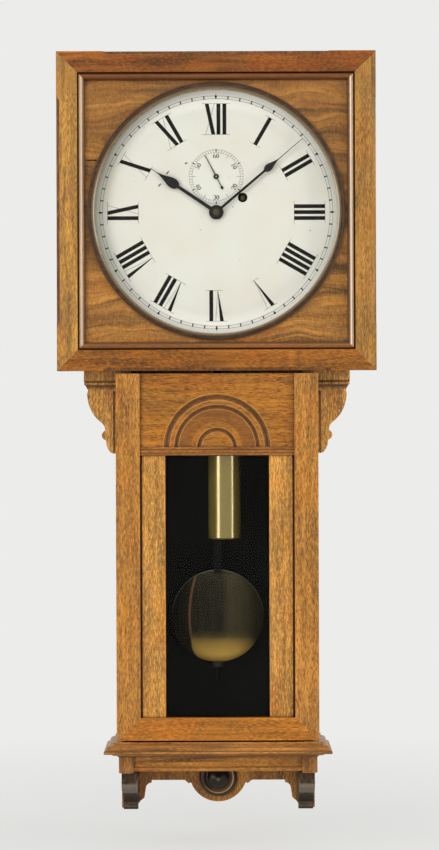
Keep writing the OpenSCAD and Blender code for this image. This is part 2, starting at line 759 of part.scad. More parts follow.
module minute_wheel() color(brass) hung() difference() {
    union() {
        slab(minute_wheel_d[0], minute_wheel_d[1]) translate([0, -minute_drop])
            wheel_outline(minute_n, motion_m, gap_at(90, minute_n));
        slab(minute_wheel_d[1] - 0.1, hour_wheel_d[1] + 0.5) translate([0, -minute_drop])
            pinion_outline(minute_pinion_n, hour_m, 90);
    }
    bar(stud_r + pivot_play, minute_wheel_d[0] - eps, hour_wheel_d[1] + 2, 0, -minute_drop);
}

module third_wheel() color(brass) hung() {
    turned(third_x, third_z) polygon([
        [0, plate_back], [pivot_r, plate_back], [pivot_r, plate_front + 0.2],
        [2, plate_front + 0.2], [2, front_plate_back - 0.2], [pivot_r, front_plate_back - 0.2],
        [pivot_r, front_plate_front], [0, front_plate_front]]);
    slab(centre_wheel_d[0] - 0.5, centre_wheel_d[1] + 0.5) translate([third_x, third_z])
        pinion_outline(third_pinion_n, train_m, gap_at(third_dir + 180, third_pinion_n));
    slab(third_wheel_d[0], third_wheel_d[1]) translate([third_x, third_z]) difference() {
        wheel_outline(third_n, train_m, escape_dir);
        crossings(6, train_m * third_n / 2 - 3.5, 4, 3.5);
    }
    bar(4.5, third_wheel_d[0] - 1, third_wheel_d[1] + 1.5, third_x, third_z);
}

// Escape wheel with pointed teeth, on the arbor that carries the seconds hand
module escape_wheel() color(brass) hung() {
    turned(0, seconds_rise) polygon([
        [0, plate_back], [pivot_r, plate_back], [pivot_r, plate_front + 0.2],
        [2, plate_front + 0.2], [2, front_plate_back - 0.2],
        [seconds_arbor_r, front_plate_back - 0.2],
        [seconds_arbor_r, seconds_depth + seconds_t + 0.6],
        [0, seconds_depth + seconds_t + 0.6]]);
    slab(third_wheel_d[0] - 0.5, third_wheel_d[1] + 0.5) translate([0, seconds_rise])
        pinion_outline(escape_pinion_n, train_m, gap_at(escape_dir + 180, escape_pinion_n));
    slab(escape_wheel_d[0], escape_wheel_d[1]) translate([0, seconds_rise]) difference() {
        polygon([for (i = [0:escape_n - 1], k = [0:2])
            let (a = 360 * (i + [0, 0.28, 0.62][k]) / escape_n, q = escape_r - [0, 3.2, 3.2][k])
            [q * cos(a), q * sin(a)]]);
        crossings(5, escape_r - 6, 4, 2.5);
    }
    bar(4, escape_wheel_d[0] - 1, escape_wheel_d[1] + 1, 0, seconds_rise);
}

module seconds_hand() color(blued) hung() slab(seconds_depth, seconds_depth + seconds_t)
    translate([0, seconds_rise]) rotate(-seconds_angle) difference() {
        union() {
            circle(r = 3.9);
            polygon([[-0.9, 0], [0.9, 0], [0.35, seconds_len], [-0.35, seconds_len]]);
            polygon([[-0.6, 0], [-0.6, -15], [-2.2, -18], [0, -22], [2.2, -18], [0.6, -15],
                [0.6, 0]]);
        }
        circle(r = seconds_arbor_r + arbor_play);
    }

// Great wheel with its click, running free on the drum arbor
module great_wheel() color(brass) hung() difference() {
    union() {
        slab(great_wheel_d[0], great_wheel_d[1]) translate([great_x, great_z]) difference() {
            wheel_outline(great_n, great_m, great_dir + 180);
            crossings(19, great_m * great_n / 2 - 5, 5, 6);
        }
        bar(2, great_wheel_d[1] - eps, drum_d[0] + 1.5, great_x, great_z - click_r);
        slab(drum_d[0], drum_d[0] + 1.5) translate([great_x, great_z - click_r])
            polygon([[-2, -2], [2, -2], [7, 1], [7, 2.2], [0, 2]]);
    }
    bar(drum_arbor_r + pivot_play, great_wheel_d[0] - eps, great_wheel_d[1] + eps,
        great_x, great_z);
}

// Drum with its ratchet, on the arbor whose square end takes the key
module winding_drum() color(brass) hung() {
    turned(great_x, great_z) polygon([
        [0, plate_back], [arbor_r, plate_back], [arbor_r, plate_front + 0.2],
        [drum_arbor_r, plate_front + 0.2], [drum_arbor_r, great_wheel_d[1] + 0.3],
        [9, great_wheel_d[1] + 0.3], [9, drum_d[0]], [drum_r, drum_d[0] + 1.5],
        [drum_r, drum_d[1] - 1.5], [14, drum_d[1] - 1.5], [14, drum_d[1]],
        [drum_arbor_r, drum_d[1]], [drum_arbor_r, front_plate_front + 1],
        [0, front_plate_front + 1]]);
    slab(drum_d[0], drum_d[0] + 1.5) translate([great_x, great_z])
        polygon([for (i = [0:23], k = [0:1]) let (q = ratchet_r - 2 * k) [
            q * cos(15 * (i + 0.12 * k)), q * sin(15 * (i + 0.12 * k))]]);
    board(great_x - winding_square / 2, great_x + winding_square / 2,
        front_plate_front + 0.5, winding_tip,
        great_z - winding_square / 2, great_z + winding_square / 2);
}

// Pallets, their arbor and the crutch that leads the pendulum rod
module verge_crutch() color(steel) hung() {
    pallet_gap = escape_r + 2;
    drop = pendulum_rise - seconds_rise;
    turned(0, pendulum_rise) polygon([
        [0, crutch_back], [verge_arbor_r, crutch_back],
        [verge_arbor_r, front_plate_back - 0.2], [pivot_r, front_plate_back - 0.2],
        [pivot_r, front_plate_front], [0, front_plate_front]]);
    slab(escape_wheel_d[0], escape_wheel_d[1]) translate([0, pendulum_rise]) difference() {
        polygon([[-5, 4], [5, 4], [21, -21], [20, -25], [14, -21], [3, -4],
            [-3, -4], [-14, -21], [-20, -25], [-21, -21]]);
        translate([0, -drop]) circle(r = pallet_gap);
    }
    bar(4, escape_wheel_d[0] - 1, escape_wheel_d[1] + 1, 0, pendulum_rise);
    bar(4, crutch_back, crutch_back + 3, 0, pendulum_rise);
    board(-2, 2, crutch_back + 1, crutch_back + 2.5, pendulum_rise - 60, pendulum_rise);
    board(-rod_w / 2 - 3, rod_w / 2 + 3, crutch_back + 1, crutch_back + 2.5,
        pendulum_rise - 62, pendulum_rise - 56);
    both_sides() bar(1, pendulum_depth - rod_t / 2, crutch_back + 1.5,
        rod_w / 2 + 1.1, pendulum_rise - 59);
}

module suspension_spring() color(steel) hung() board(-spring_w / 2, spring_w / 2,
    pendulum_depth - spring_t / 2, pendulum_depth + spring_t / 2, spring_bottom, spring_top);

module pendulum_rod() color(oak_panel) hung() {
    difference() {
        board(-rod_w / 2, rod_w / 2, pendulum_depth - rod_t / 2, pendulum_depth + rod_t / 2,
            rating_top + rod_foot, rod_top);
        board(-rod_w / 2 - eps, rod_w / 2 + eps, pendulum_depth - spring_t / 2 - slip,
            pendulum_depth + spring_t / 2 + slip, spring_bottom - slip, rod_top + eps);
    }
    translate([0, -pendulum_depth, rating_top - 26]) cylinder(r = rating_screw_r, h = 50);
}

// Lens-shaped bob with a slot for the rod
module pendulum_bob() color(brass) hung() difference() {
    rim = 3;
    turned(0, bob_z) polygon(concat(
        curve([0, pendulum_depth - bob_t / 2], [bob_r * 0.5, pendulum_depth - bob_t / 2],
            [bob_r - 8, pendulum_depth - bob_t / 4], [bob_r, pendulum_depth - rim / 2], 10),
        curve([bob_r, pendulum_depth + rim / 2], [bob_r - 8, pendulum_depth + bob_t / 4],
            [bob_r * 0.5, pendulum_depth + bob_t / 2], [0, pendulum_depth + bob_t / 2], 10)));
    board(-rod_w / 2 - slip, rod_w / 2 + slip, pendulum_depth - rod_t / 2 - slip,
        pendulum_depth + rod_t / 2 + slip, rating_top + rod_foot - slip, bob_z + bob_r + eps);
    translate([0, -pendulum_depth, rating_top - eps]) cylinder(r = rating_screw_r + slip, h = 20);
}

module rating_nut() color(brass) hung() translate([0, -pendulum_depth, rating_top - 8]) difference() {
    rotate_extrude() polygon([[0, 0], [7, 0], [9, 1.5], [9, 6.5], [7, 8], [0, 8]]);
    translate([0, 0, -eps]) cylinder(r = rating_screw_r + slip, h = 12);
}

module weight_body() color(brass) hung() translate([weight_x, -weight_depth, weight_top - weight_len])
    rotate_extrude() polygon([
        [0, 0], [weight_r - 2, 0], [weight_r, 2], [weight_r, weight_len - 2],
        [weight_r - 2, weight_len], [0, weight_len]]);

// Strap over the pulley, with the pulley's axle
module weight_stirrup() color(steel) hung() {
    cheek = pulley_t / 2 + 1;
    bridge = -pulley_drop - pulley_r - 1;
    translate([weight_x, -weight_depth, weight_top]) cylinder(r = 3, h = bridge - 3 - weight_top + eps);
    board(weight_x - stirrup_half, weight_x + stirrup_half,
        weight_depth - cheek - 2, weight_depth + cheek + 2,
        bridge - 4, bridge);
    for (s = [-1, 1])
        board(weight_x - stirrup_half, weight_x + stirrup_half,
            weight_depth + s * (cheek + 1) - 1, weight_depth + s * (cheek + 1) + 1,
            bridge - eps, -pulley_drop + 7);
    bar(axle_r, weight_depth - cheek - 2, weight_depth + cheek + 2, weight_x, -pulley_drop);
}

module weight_pulley() color(brass) hung() turned(weight_x, -pulley_drop) translate([0, weight_depth])
    polygon([
        [axle_r + pivot_play, -pulley_t / 2], [pulley_r, -pulley_t / 2], [pulley_r, -3.5],
        [pulley_run - cable_r - 0.1, -1], [pulley_run - cable_r - 0.1, 1], [pulley_r, 3.5],
        [pulley_r, pulley_t / 2], [axle_r + pivot_play, pulley_t / 2]]);

// Cable from the drum, under the pulley and up to the hook
module weight_cable() color("#77705f") hung() translate([weight_x, -weight_depth, -pulley_drop]) {
    translate([pulley_run, 0, 0]) cylinder(r = cable_r, h = pulley_drop + great_z, $fn = 24);
    translate([-pulley_run, 0, 0]) cylinder(r = cable_r, h = pulley_drop + hook_end, $fn = 24);
    rotate([90, 0, 0]) rotate([0, 0, 180]) rotate_extrude(angle = 180)
        translate([pulley_run, 0]) circle(r = cable_r, $fn = 24);
}

// Side outline of the dial door's frame, as depth and distance down from its outer edge
module frame_profile() {
    b = dial_door_back;
    f = dial_door_front;
    bead_r = frame_bead / 2 - 1;
    half = dial_door_w / 2;
    lip = frame_flat + frame_bead;
    polygon([
        [b, half], [f, half], [f, half - frame_flat], [f - 3, half - frame_flat - 0.6],
        [f - 5, half - frame_flat - 1.5], [f - 5, half - lip + 0.5], [f - 6, half - lip],
        [panel_front, half - lip], [panel_front, panel_half + slip],
        [b, panel_half + slip]]);
    translate([panel_front + bead_r, half - frame_flat - 1.5 - bead_r])
        circle(r = bead_r, $fn = 32);
}

module dial_frame() color(oak) hung() difference() {
    for (a = [0:90:270]) rotate([0, a, 0]) difference() {
        intersection() {
            run(-dial_door_w / 2, dial_door_w / 2) mirror([1, 0]) frame_profile();
            slab(dial_door_back - eps, dial_door_front + eps) polygon([
                [0, mitre_gap], [dial_door_w / 2 - mitre_gap, dial_door_w / 2],
                [-dial_door_w / 2 + mitre_gap, dial_door_w / 2]]);
        }
        stopped_chamfer(chamfer_half);
    }
    for (z = dial_hinge_z) leaf_pocket(dial_hinge_x, dial_door_back, z);
    bar(catch_r + slip, dial_door_back - eps, dial_door_back + catch_depth, dial_catch_x, 0);
}

// Cutter that takes off the outer front edge and runs out before the corners
module stopped_chamfer(half) translate([0, -dial_door_front, dial_door_w / 2]) rotate([45, 0, 0])
    rotate([90, 0, 0]) linear_extrude(30, center = true) polygon([
        [-half + 7, -chamfer / sqrt(2)], [half - 7, -chamfer / sqrt(2)],
        [half, 1], [-half, 1]]);

module dial_panel() color(oak_panel) hung() difference() {
    board(-panel_half, panel_half, panel_back, panel_front, -panel_half, panel_half);
    bar(panel_hole_r, panel_back - eps, panel_front + eps);
}

// Turned ring that frames the dial, with a spigot through the panel
module dial_ring() color(dark_wood) hung() turned() {
    f = panel_front;
    polygon(concat(
        [[ring_in, glass_back + glass_t], [ring_in + ring_spigot, glass_back + glass_t],
            [ring_in + ring_spigot, f], [ring_in + ring_w, f]],
        curve([ring_in + ring_w, f], [ring_in + ring_w, f + ring_out],
            [ring_in + ring_w * 0.6, f + ring_out], [ring_in + ring_w * 0.4, f + ring_out], 6),
        curve([ring_in + ring_w * 0.4, f + ring_out], [ring_in + 1, f + ring_out],
            [ring_in, f + ring_out - 2], [ring_in, f + 1], 6)));
}

// Thin brass ring in front of the glass
module sight_ring() color(brass) hung() turned() polygon([
    [ring_in - 2, glass_back + glass_t], [ring_in - slip, glass_back + glass_t],
    [ring_in - slip, panel_front], [ring_in - 1, panel_front]]);

module dial_glass() color("#dfe8e8", 0.3) hung()
    bar(ring_in + ring_spigot - 0.2, glass_back, glass_back + glass_t);

// Leaf, block and middle knuckle of a hinge, on a door at depth d
module door_leaf(x, back, z) difference() {
    union() {
        board(x - leaf_w, x + leaf_lip, back, back + leaf_t, z - hinge_h / 2, z + hinge_h / 2);
        board(x - knuckle_r + 1, x + leaf_lip, back - hinge_out, back + leaf_t / 2,
            z - knuckle_h / 2, z + knuckle_h / 2);
        translate([x, -back + hinge_out, z - knuckle_h / 2]) cylinder(r = knuckle_r, h = knuckle_h);
    }
    translate([x, -back + hinge_out, z - hinge_h]) cylinder(r = pin_r + pivot_play, h = 2 * hinge_h);
}

// Leaf on the side of the case with the two outer knuckles; face is the side's outer x
module fixed_leaf(x, d, face, z) difference() {
    union() {
        for (s = [-1, 1]) translate([0, 0, z + s * (hinge_h / 2 - knuckle_h / 2)]) {
            translate([x, -d, -knuckle_h / 2]) cylinder(r = knuckle_r, h = knuckle_h);
            board(face, face + leaf_t, d - leaf_w, d, -knuckle_h / 2, knuckle_h / 2);
            board(face, x, d - 1.2, d, -knuckle_h / 2, knuckle_h / 2);
        }
        board(face, face + leaf_t, d - leaf_w, d - knuckle_r - 1, z - hinge_h / 2, z + hinge_h / 2);
    }
    translate([x, -d, z - hinge_h]) cylinder(r = pin_r + pivot_play, h = 2 * hinge_h);
}

// Space in the back of a door for a leaf and its block
module leaf_pocket(x, back, z)
    board(x - leaf_w - slip, x + leaf_lip + slip, back - eps, back + leaf_t + slip,
        z - hinge_h / 2 - slip, z + hinge_h / 2 + slip);

module case_hinge_leaves() color(brass) hung() {
    for (z = dial_hinge_z) fixed_leaf(dial_hinge_x, dial_hinge_d, box_half, z);
    for (z = door_hinge_z) fixed_leaf(door_hinge_x, door_hinge_d, throat_half, z);
}

// Hinge pins with small heads
module hinge_pin(x, d, z) translate([x, -d, z]) {
    cylinder(r = pin_r, h = hinge_h + 1, center = true);
    for (s = [-1, 1]) translate([0, 0, s * (hinge_h / 2 + 0.9)])
        cylinder(r = pin_r + 1.2, h = 1.6, center = true);
}
module hinge_pins() color(brass) hung() {
    for (z = dial_hinge_z) hinge_pin(dial_hinge_x, dial_hinge_d, z);
    for (z = door_hinge_z) hinge_pin(door_hinge_x, door_hinge_d, z);
}

module dial_door_hinges() color(brass) hung()
    for (z = dial_hinge_z) door_leaf(dial_hinge_x, dial_door_back, z);
module lower_door_hinges() color(brass) hung()
    for (z = door_hinge_z) door_leaf(door_hinge_x, door_back, z);

// Bullet catches in the doors, and the cups that they spring into
module catch_cup(x, front, z) difference() {
    bar(strike_r, front - strike_depth + slip, front, x, z);
    bar(2.2, front - 3, front + eps, x, z);
}
module catch_strikes() color(brass) hung() {
    catch_cup(dial_catch_x, box_depth, 0);
    catch_cup(door_catch_x, throat_depth, door_catch_z);
}
module bullet_catch(x, back, z) {
    bar(catch_r, back, back + catch_depth - slip, x, z);
    translate([x, -back - 0.6, z]) sphere(r = 1.8);
}
module dial_door_catch() color(brass) hung() bullet_catch(dial_catch_x, dial_door_back, 0);
module lower_door_catch() color(brass) hung()
    bullet_catch(door_catch_x, door_back, door_catch_z);

// Outer stiles, mitred to the bottom rail
module door_stiles() color(oak) hung() difference() {
    both_sides() slab(door_back, door_front) polygon([
        [stile_in, door_top], [door_half, door_top], [door_half, door_bottom],
        [stile_in, rail_top]]);
    for (z = door_hinge_z) leaf_pocket(door_hinge_x, door_back, z);
    bar(catch_r + slip, door_back - eps, door_back + catch_depth, door_catch_x, door_catch_z);
}

module door_bottom_rail() color(oak) hung() difference() {
    slab(door_back, door_front) polygon([
        [-stile_in, rail_top], [-door_half, door_bottom], [door_half, door_bottom],
        [stile_in, rail_top]]);
    board(-sight_in - glass_rebate, sight_in + glass_rebate, door_back - eps, glass_front,
        rail_top - glass_rebate, rail_top + eps);
}

// Rounded top of a ridge of the fan, between two radii
function fan_ridge(r) = let (low = header_front - fan_set, side = (r[1] - r[0]) / 4) curve(
    [r[0], low], [r[0] + side, header_front], [r[1] - side, header_front], [r[1], low], 6);

// Header panel with its carved half-round fan of rings
module header_panel() color(oak) hung() difference() {
    board(-stile_in, stile_in, door_back, header_front, header_bottom, door_top);
    for (g = fan_grooves) turned(0, header_bottom - fan_drop)
        translate([g[0], header_front + g[2]]) circle(r = g[1], $fn = 48);
    turned(0, header_bottom - fan_drop) polygon(concat(
        [[fan_ridges[0][0], header_front + eps]],
        fan_ridge(fan_ridges[0]),
        fan_ridge(fan_ridges[1]),
        [[fan_ridges[1][1], header_front + eps]]));
}

module header_rail() color(oak) hung() difference() {
    board(-stile_in, stile_in, door_back, header_rail_front, window_top, header_bottom);
    board(-sight_in - glass_rebate, sight_in + glass_rebate, door_back - eps, glass_front,
        window_top - eps, window_top + glass_rebate / 2);
    for (k = [0.32, 0.72]) board(-stile_in - eps, stile_in + eps, header_rail_front - 1,
        header_rail_front + eps, header_bottom - header_rail_h * k - 0.5,
        header_bottom - header_rail_h * k + 0.5);
}

// Inner stiles beside the glass, with a tongue behind the shadow groove
module sight_stiles() color(oak) hung() both_sides() {
    board(sight_in, sight_out, glass_front, sight_front, rail_top, window_top);
    board(sight_in + glass_rebate, stile_in, door_back, glass_front + eps, rail_top, window_top);
}

module door_glass() color("#dfe8e8", 0.3) hung() board(
    -sight_in - glass_rebate + 0.5, sight_in + glass_rebate - 0.5,
    glass_front - glass_t, glass_front,
    rail_top - glass_rebate + 1, window_top + glass_rebate / 2 - 1);

// Strips that hold the glass from behind
module glass_beads() color(oak) hung() {
    x = sight_in + glass_rebate - slip;
    top = window_top + glass_rebate / 2 - slip;
    bottom = rail_top - glass_rebate + slip;
    both_sides() board(x - 6, x, door_back + 0.2, glass_front - glass_t, bottom, top);
    board(-x + 6 + slip, x - 6 - slip, door_back + 0.2, glass_front - glass_t, bottom, bottom + 6);
    board(-x + 6 + slip, x - 6 - slip, door_back + 0.2, glass_front - glass_t, top - 6, top);
}

backboard();
back_wings();
box_sides();
box_boards();
case_sides();
base_board();
frieze_rails();
frieze_blocks();
lower_corbels();
apron_roundel();
upper_brackets();
dial();
dial_battens();
round_head_screws();
hanger_plate();
movement_seat();
movement_plates();
plate_pillars();
suspension_cock();
case_hinge_leaves();
hinge_pins();
catch_strikes();
cable_hook();
dial_frame();
dial_panel();
dial_ring();
sight_ring();
dial_glass();
dial_door_hinges();
dial_door_catch();
door_stiles();
door_bottom_rail();
header_panel();
header_rail();
sight_stiles();
door_glass();
glass_beads();
lower_door_hinges();
lower_door_catch();
centre_arbor();
cannon_pinion();
minute_hand();
hand_nut();
hour_wheel();
hour_hand();
minute_wheel();
third_wheel();
escape_wheel();
seconds_hand();
great_wheel();
winding_drum();
verge_crutch();
suspension_spring();
pendulum_rod();
pendulum_bob();
rating_nut();
weight_body();
weight_stirrup();
weight_pulley();
weight_cable();
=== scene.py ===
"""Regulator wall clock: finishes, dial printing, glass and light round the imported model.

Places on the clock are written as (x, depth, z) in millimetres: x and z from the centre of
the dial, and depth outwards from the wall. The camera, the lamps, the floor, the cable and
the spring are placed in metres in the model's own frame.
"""
import math
import random

import bmesh
import bpy
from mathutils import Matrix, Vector


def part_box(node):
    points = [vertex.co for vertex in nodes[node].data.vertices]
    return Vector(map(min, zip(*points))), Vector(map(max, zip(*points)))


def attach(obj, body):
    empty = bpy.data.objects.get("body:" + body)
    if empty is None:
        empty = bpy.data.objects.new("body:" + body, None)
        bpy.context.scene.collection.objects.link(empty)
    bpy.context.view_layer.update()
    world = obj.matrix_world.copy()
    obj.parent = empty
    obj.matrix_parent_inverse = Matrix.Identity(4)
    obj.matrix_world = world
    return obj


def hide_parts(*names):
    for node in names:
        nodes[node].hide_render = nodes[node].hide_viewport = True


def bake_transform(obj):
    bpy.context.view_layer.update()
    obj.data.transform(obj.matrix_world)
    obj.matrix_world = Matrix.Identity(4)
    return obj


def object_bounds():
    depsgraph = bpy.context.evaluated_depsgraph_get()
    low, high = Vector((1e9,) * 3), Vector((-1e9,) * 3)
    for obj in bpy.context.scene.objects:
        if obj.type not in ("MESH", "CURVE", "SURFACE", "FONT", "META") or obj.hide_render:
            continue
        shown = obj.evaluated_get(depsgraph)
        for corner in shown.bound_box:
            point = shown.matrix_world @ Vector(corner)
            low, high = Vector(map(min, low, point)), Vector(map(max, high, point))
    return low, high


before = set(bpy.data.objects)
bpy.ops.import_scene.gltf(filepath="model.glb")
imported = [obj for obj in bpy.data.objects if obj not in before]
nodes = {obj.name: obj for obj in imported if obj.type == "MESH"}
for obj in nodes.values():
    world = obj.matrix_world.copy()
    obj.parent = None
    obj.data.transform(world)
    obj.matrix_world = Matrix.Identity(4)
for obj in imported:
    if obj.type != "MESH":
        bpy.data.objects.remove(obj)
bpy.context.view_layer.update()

MM = 0.001
CENTRE_Z = sum(corner[2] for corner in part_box("dial")) / 2


def front(node):
    """How far a node's front is from the wall."""
    return -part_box(node)[0][1] / MM


def half_width(node):
    """How far a node reaches to the right of the middle."""
    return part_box(node)[1][0] / MM


def heights(node):
    """Lowest and highest z of a node."""
    return [(corner[2] - CENTRE_Z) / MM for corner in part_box(node)]


DIAL_FRONT = front("dial")
FRAME_HALF = half_width("dial_frame")

# Inside of the throat, between its side boards and under the dial case
SIDE_T = 14
CASE_IN = half_width("case_sides") - SIDE_T
CASE_BOTTOM = heights("case_sides")[0]
LINED_TOP = heights("case_sides")[1] - SIDE_T

# Turned ring, and the groove and bead at the inner edge of the dial door's frame
RING_IN = 177.8
RING_OUT = 186.5
GROOVE = 192.4
BEAD_END = 198.2

# Printing on the dial
INK_T = 0.12
TRACK_R = 169.0
TRACK_W = 3.9
TRACK_LINE = 0.4
NUMERAL_IN = 113.0
NUMERAL_OUT = 157.8
SECONDS_Z = 52.0
SECONDS_R = 39.3
SECONDS_W = 4.4
SECONDS_LINE = 0.3
FIGURE = 4.5
FIGURE_R = SECONDS_R - 9.2
BOLD = 1.35
HEAVY = 5.6
THIN = 0.42
SERIF = 3.6
LETTER = {"I": 8.6, "V": 15.4, "X": 15.8}
STROKE_STEP = 0.004


def place(x, depth, z):
    return Vector((x * MM, -depth * MM, z * MM + CENTRE_Z))


def colour(r, g, b):
    """Linear colour of a screen colour given from 0 to 255."""
    def linear(v):
        v /= 255
        return v / 12.92 if v <= 0.04045 else ((v + 0.055) / 1.055) ** 2.4
    return (linear(r), linear(g), linear(b), 1.0)


PALE = colour(236, 236, 234)


class Shader:
    """A new material whose nodes are added by short calls."""

    def __init__(self, name):
        self.mat = bpy.data.materials.new(name)
        self.mat.use_nodes = True
        self.tree = self.mat.node_tree
        self.bsdf = self.tree.nodes["Principled BSDF"]
        self.output = self.tree.nodes["Material Output"]
        self.point = self.add("ShaderNodeTexCoord").outputs["Object"]

    def put(self, socket, value):
        if isinstance(value, bpy.types.NodeSocket):
            self.tree.links.new(value, socket)
        else:
            socket.default_value = value

    def add(self, kind, inputs=(), **settings):
        made = self.tree.nodes.new(kind)
        for key, value in settings.items():
            setattr(made, key, value)
        for key, value in dict(inputs).items():
            self.put(made.inputs[key], value)
        return made

    def set(self, **values):
        for key, value in values.items():
            self.put(self.bsdf.inputs[key.replace("_", " ")], value)

    def stretch(self, scale, offset=(0, 0, 0)):
        return self.add("ShaderNodeMapping", {
            "Vector": self.point, "Scale": scale, "Location": offset}).outputs["Vector"]

    def noise(self, vector, scale, detail=2.0, rough=0.5, bend=0.0):
        return self.add("ShaderNodeTexNoise", {
            "Vector": vector, "Scale": scale, "Detail": detail, "Roughness": rough,
            "Distortion": bend}).outputs["Fac"]

    def ramp(self, value, low, high, out_low=0.0, out_high=1.0):
        return self.add("ShaderNodeMapRange", {
            "Value": value, "From Min": low, "From Max": high, "To Min": out_low,
            "To Max": out_high}, clamp=True).outputs["Result"]

    def math(self, kind, a, b=0):
        return self.add("ShaderNodeMath", {0: a, 1: b}, operation=kind).outputs[0]

    def times(self, a, b):
        return self.math("MULTIPLY", a, b)

    def minus(self, a, b):
        return self.math("SUBTRACT", a, b)

    def off(self, a, b):
        """How far a value is from another, either way."""
        return self.math("ABSOLUTE", self.minus(a, b))

    def length(self, a, b):
        return self.math("SQRT", self.math("ADD", self.times(a, a), self.times(b, b)))

    def parts(self):
        """The x, depth and z of the shaded point."""
        there = self.add("ShaderNodeVectorMath", {
            0: self.point, 1: (1 / MM, -1 / MM, 1 / MM), 2: (0, 0, -CENTRE_Z / MM)},
            operation="MULTIPLY_ADD").outputs[0]
        return self.add("ShaderNodeSeparateXYZ", {"Vector": there}).outputs

    def mix(self, factor, a, b):
        made = self.add("ShaderNodeMix", data_type="RGBA")
        self.put(made.inputs[0], factor)
        self.put(made.inputs[6], a)
        self.put(made.inputs[7], b)
        return made.outputs[2]

    def crevice(self, reach):
        """Falls towards 0 in corners and joints."""
        return self.add("ShaderNodeAmbientOcclusion", {"Distance": reach * MM},
                        samples=6).outputs["AO"]

    def edge(self, reach):
        """Rises towards 1 beside the edges of a piece."""
        rounded = self.add("ShaderNodeBevel", {"Radius": reach * MM}, samples=4).outputs[0]
        true = self.add("ShaderNodeNewGeometry").outputs["Normal"]
        made = self.add("ShaderNodeVectorMath", {0: rounded, 1: true}, operation="DOT_PRODUCT")
        return self.ramp(made.outputs["Value"], 0.72, 0.97, 1, 0)

    def about(self, z):
        """Distance from a line that runs front to back at x = 0 and the given z."""
        parts = self.parts()
        return self.length(parts[0], self.minus(parts[2], z))

    def bump(self, height, strength, distance):
        return self.add("ShaderNodeBump", {
            "Height": height, "Strength": strength, "Distance": distance * MM}).outputs["Normal"]


def shade(tone, k):
    return tuple(min(255, c * k) for c in tone)


def by_axis(axis, along, across=1):
    """Scale factors that differ between one axis and the other two."""
    return [along if name == axis else across for name in "xyz"]


def oak(name, axis, mean, seed, band=120, spread=0.16, mottle=0.8, pore=0.55, pore_len=0.2,
        cross=False, warmth=0.5, dulled=0.45, wave=0.6, warp=0.0, coat=0.3, corner_shade=(6, 0.9),
        overlay=None):
    """Varnished oak: growth bands, patches of warmer and duller colour, a fine mottle that
    runs with the grain or, where the board is cut on the quarter, across it, open pores,
    pale edges, partly wear and partly painted highlight, and painted shade in the corners."""
    s = Shader(name)
    offset = (seed * 0.37, seed * 0.71, seed * 1.13)
    if warp:
        bend = s.noise(s.stretch((1, 1, 1), (seed, 0, seed * 2)), 11, 2, 0.5)
        lift = s.add("ShaderNodeCombineXYZ", {2: s.ramp(bend, 0.2, 0.8, -warp, warp)}).outputs[0]
        s.point = s.add("ShaderNodeVectorMath", {0: s.point, 1: lift}, operation="ADD").outputs[0]

    def run(along, across=1):
        return s.stretch(by_axis(axis, along, across), offset)

    grain = run(0.05)
    bands = s.noise(grain, band, 4, 0.6, wave)
    wide = s.noise(run(0.09), band * 0.28, 2, 0.5, wave * 1.6)
    tone = s.mix(s.ramp(bands, 0.36, 0.64), colour(*shade(mean, 1 - spread)),
                 colour(*shade(mean, 1 + spread)))
    tone = s.mix(s.ramp(wide, 0.45, 0.7, 0, 0.7), tone,
                 colour(*shade(mean, 0.94 - spread * 1.5)))
    warm = (mean[0] * 1.02, mean[1] * 0.82, mean[2] * 0.6)
    dull = (mean[0] * 0.82, mean[1] * 0.86, mean[2] * 1.05)
    gold = (mean[0] * 1.1, mean[1] * 1.06, mean[2] * 0.85)
    for k, (tint, much) in enumerate(((warm, warmth), (dull, dulled), (gold, 0.6))):
        patch = s.noise(s.stretch(by_axis(axis, 0.35), (seed + k * 5.1, k * 3.7, seed * 0.3)),
                        34, 3, 0.6)
        tone = s.mix(s.ramp(patch, 0.5, 0.66, 0, much), tone, colour(*tint))
    speck = s.noise(run(1, 0.26) if cross else run(0.22), 760, 3, 0.6)
    tone = s.mix(s.ramp(speck, 0.34, 0.52, mottle, 0), tone, colour(*shade(mean, 0.62)))
    tone = s.mix(s.ramp(speck, 0.5, 0.68, 0, mottle), tone, colour(*shade(mean, 1.3)))
    holes = s.ramp(s.noise(run(pore_len), 760, 2, 0.55), 0.55, 0.66)
    hair = s.ramp(s.noise(grain, 480, 2, 0.6), 0.48, 0.7)
    deep = (mean[0] * 0.4, mean[1] * 0.34, mean[2] * 0.28)
    tone = s.mix(s.times(holes, pore), tone, colour(*deep))
    tone = s.mix(s.times(hair, 0.3), tone, colour(*deep))
    if overlay:
        tone = overlay(s, tone)
    # Pale edges: partly wear, partly a painted highlight where light would catch them.
    worn = s.times(s.edge(1.3), s.ramp(bands, 0.3, 0.6, 0.25, 0.75))
    tone = s.mix(worn, tone, colour(min(255, mean[0] * 1.14), mean[1] * 1.24, mean[2] * 1.9))
    # Painted shade: darker in corners and joints, from the occlusion test.
    tone = s.mix(s.ramp(s.crevice(corner_shade[0]), 0.3, 0.86, corner_shade[1], 0), tone, colour(40, 22, 11))
    s.set(Base_Color=tone, Roughness=0.5, Coat_Weight=coat, Coat_Roughness=0.12,
          Specular_IOR_Level=0.12,
          Normal=s.bump(s.times(s.math("ADD", holes, hair), -1), 0.2, 0.3))
    return s.mat


# Overlays: what only one kind of piece has

FAN_GROOVES = ((72.9, 4.1), (58.8, 2.9), (25.8, 2.9))   # middle radius, half width
FAN_DROP = 0.8
BASE_QUIRKS = ((7.2, 0.9, 0.6), (12.4, 0.8, 0.75), (16.0, 1.0, 0.75))   # down, half, strength


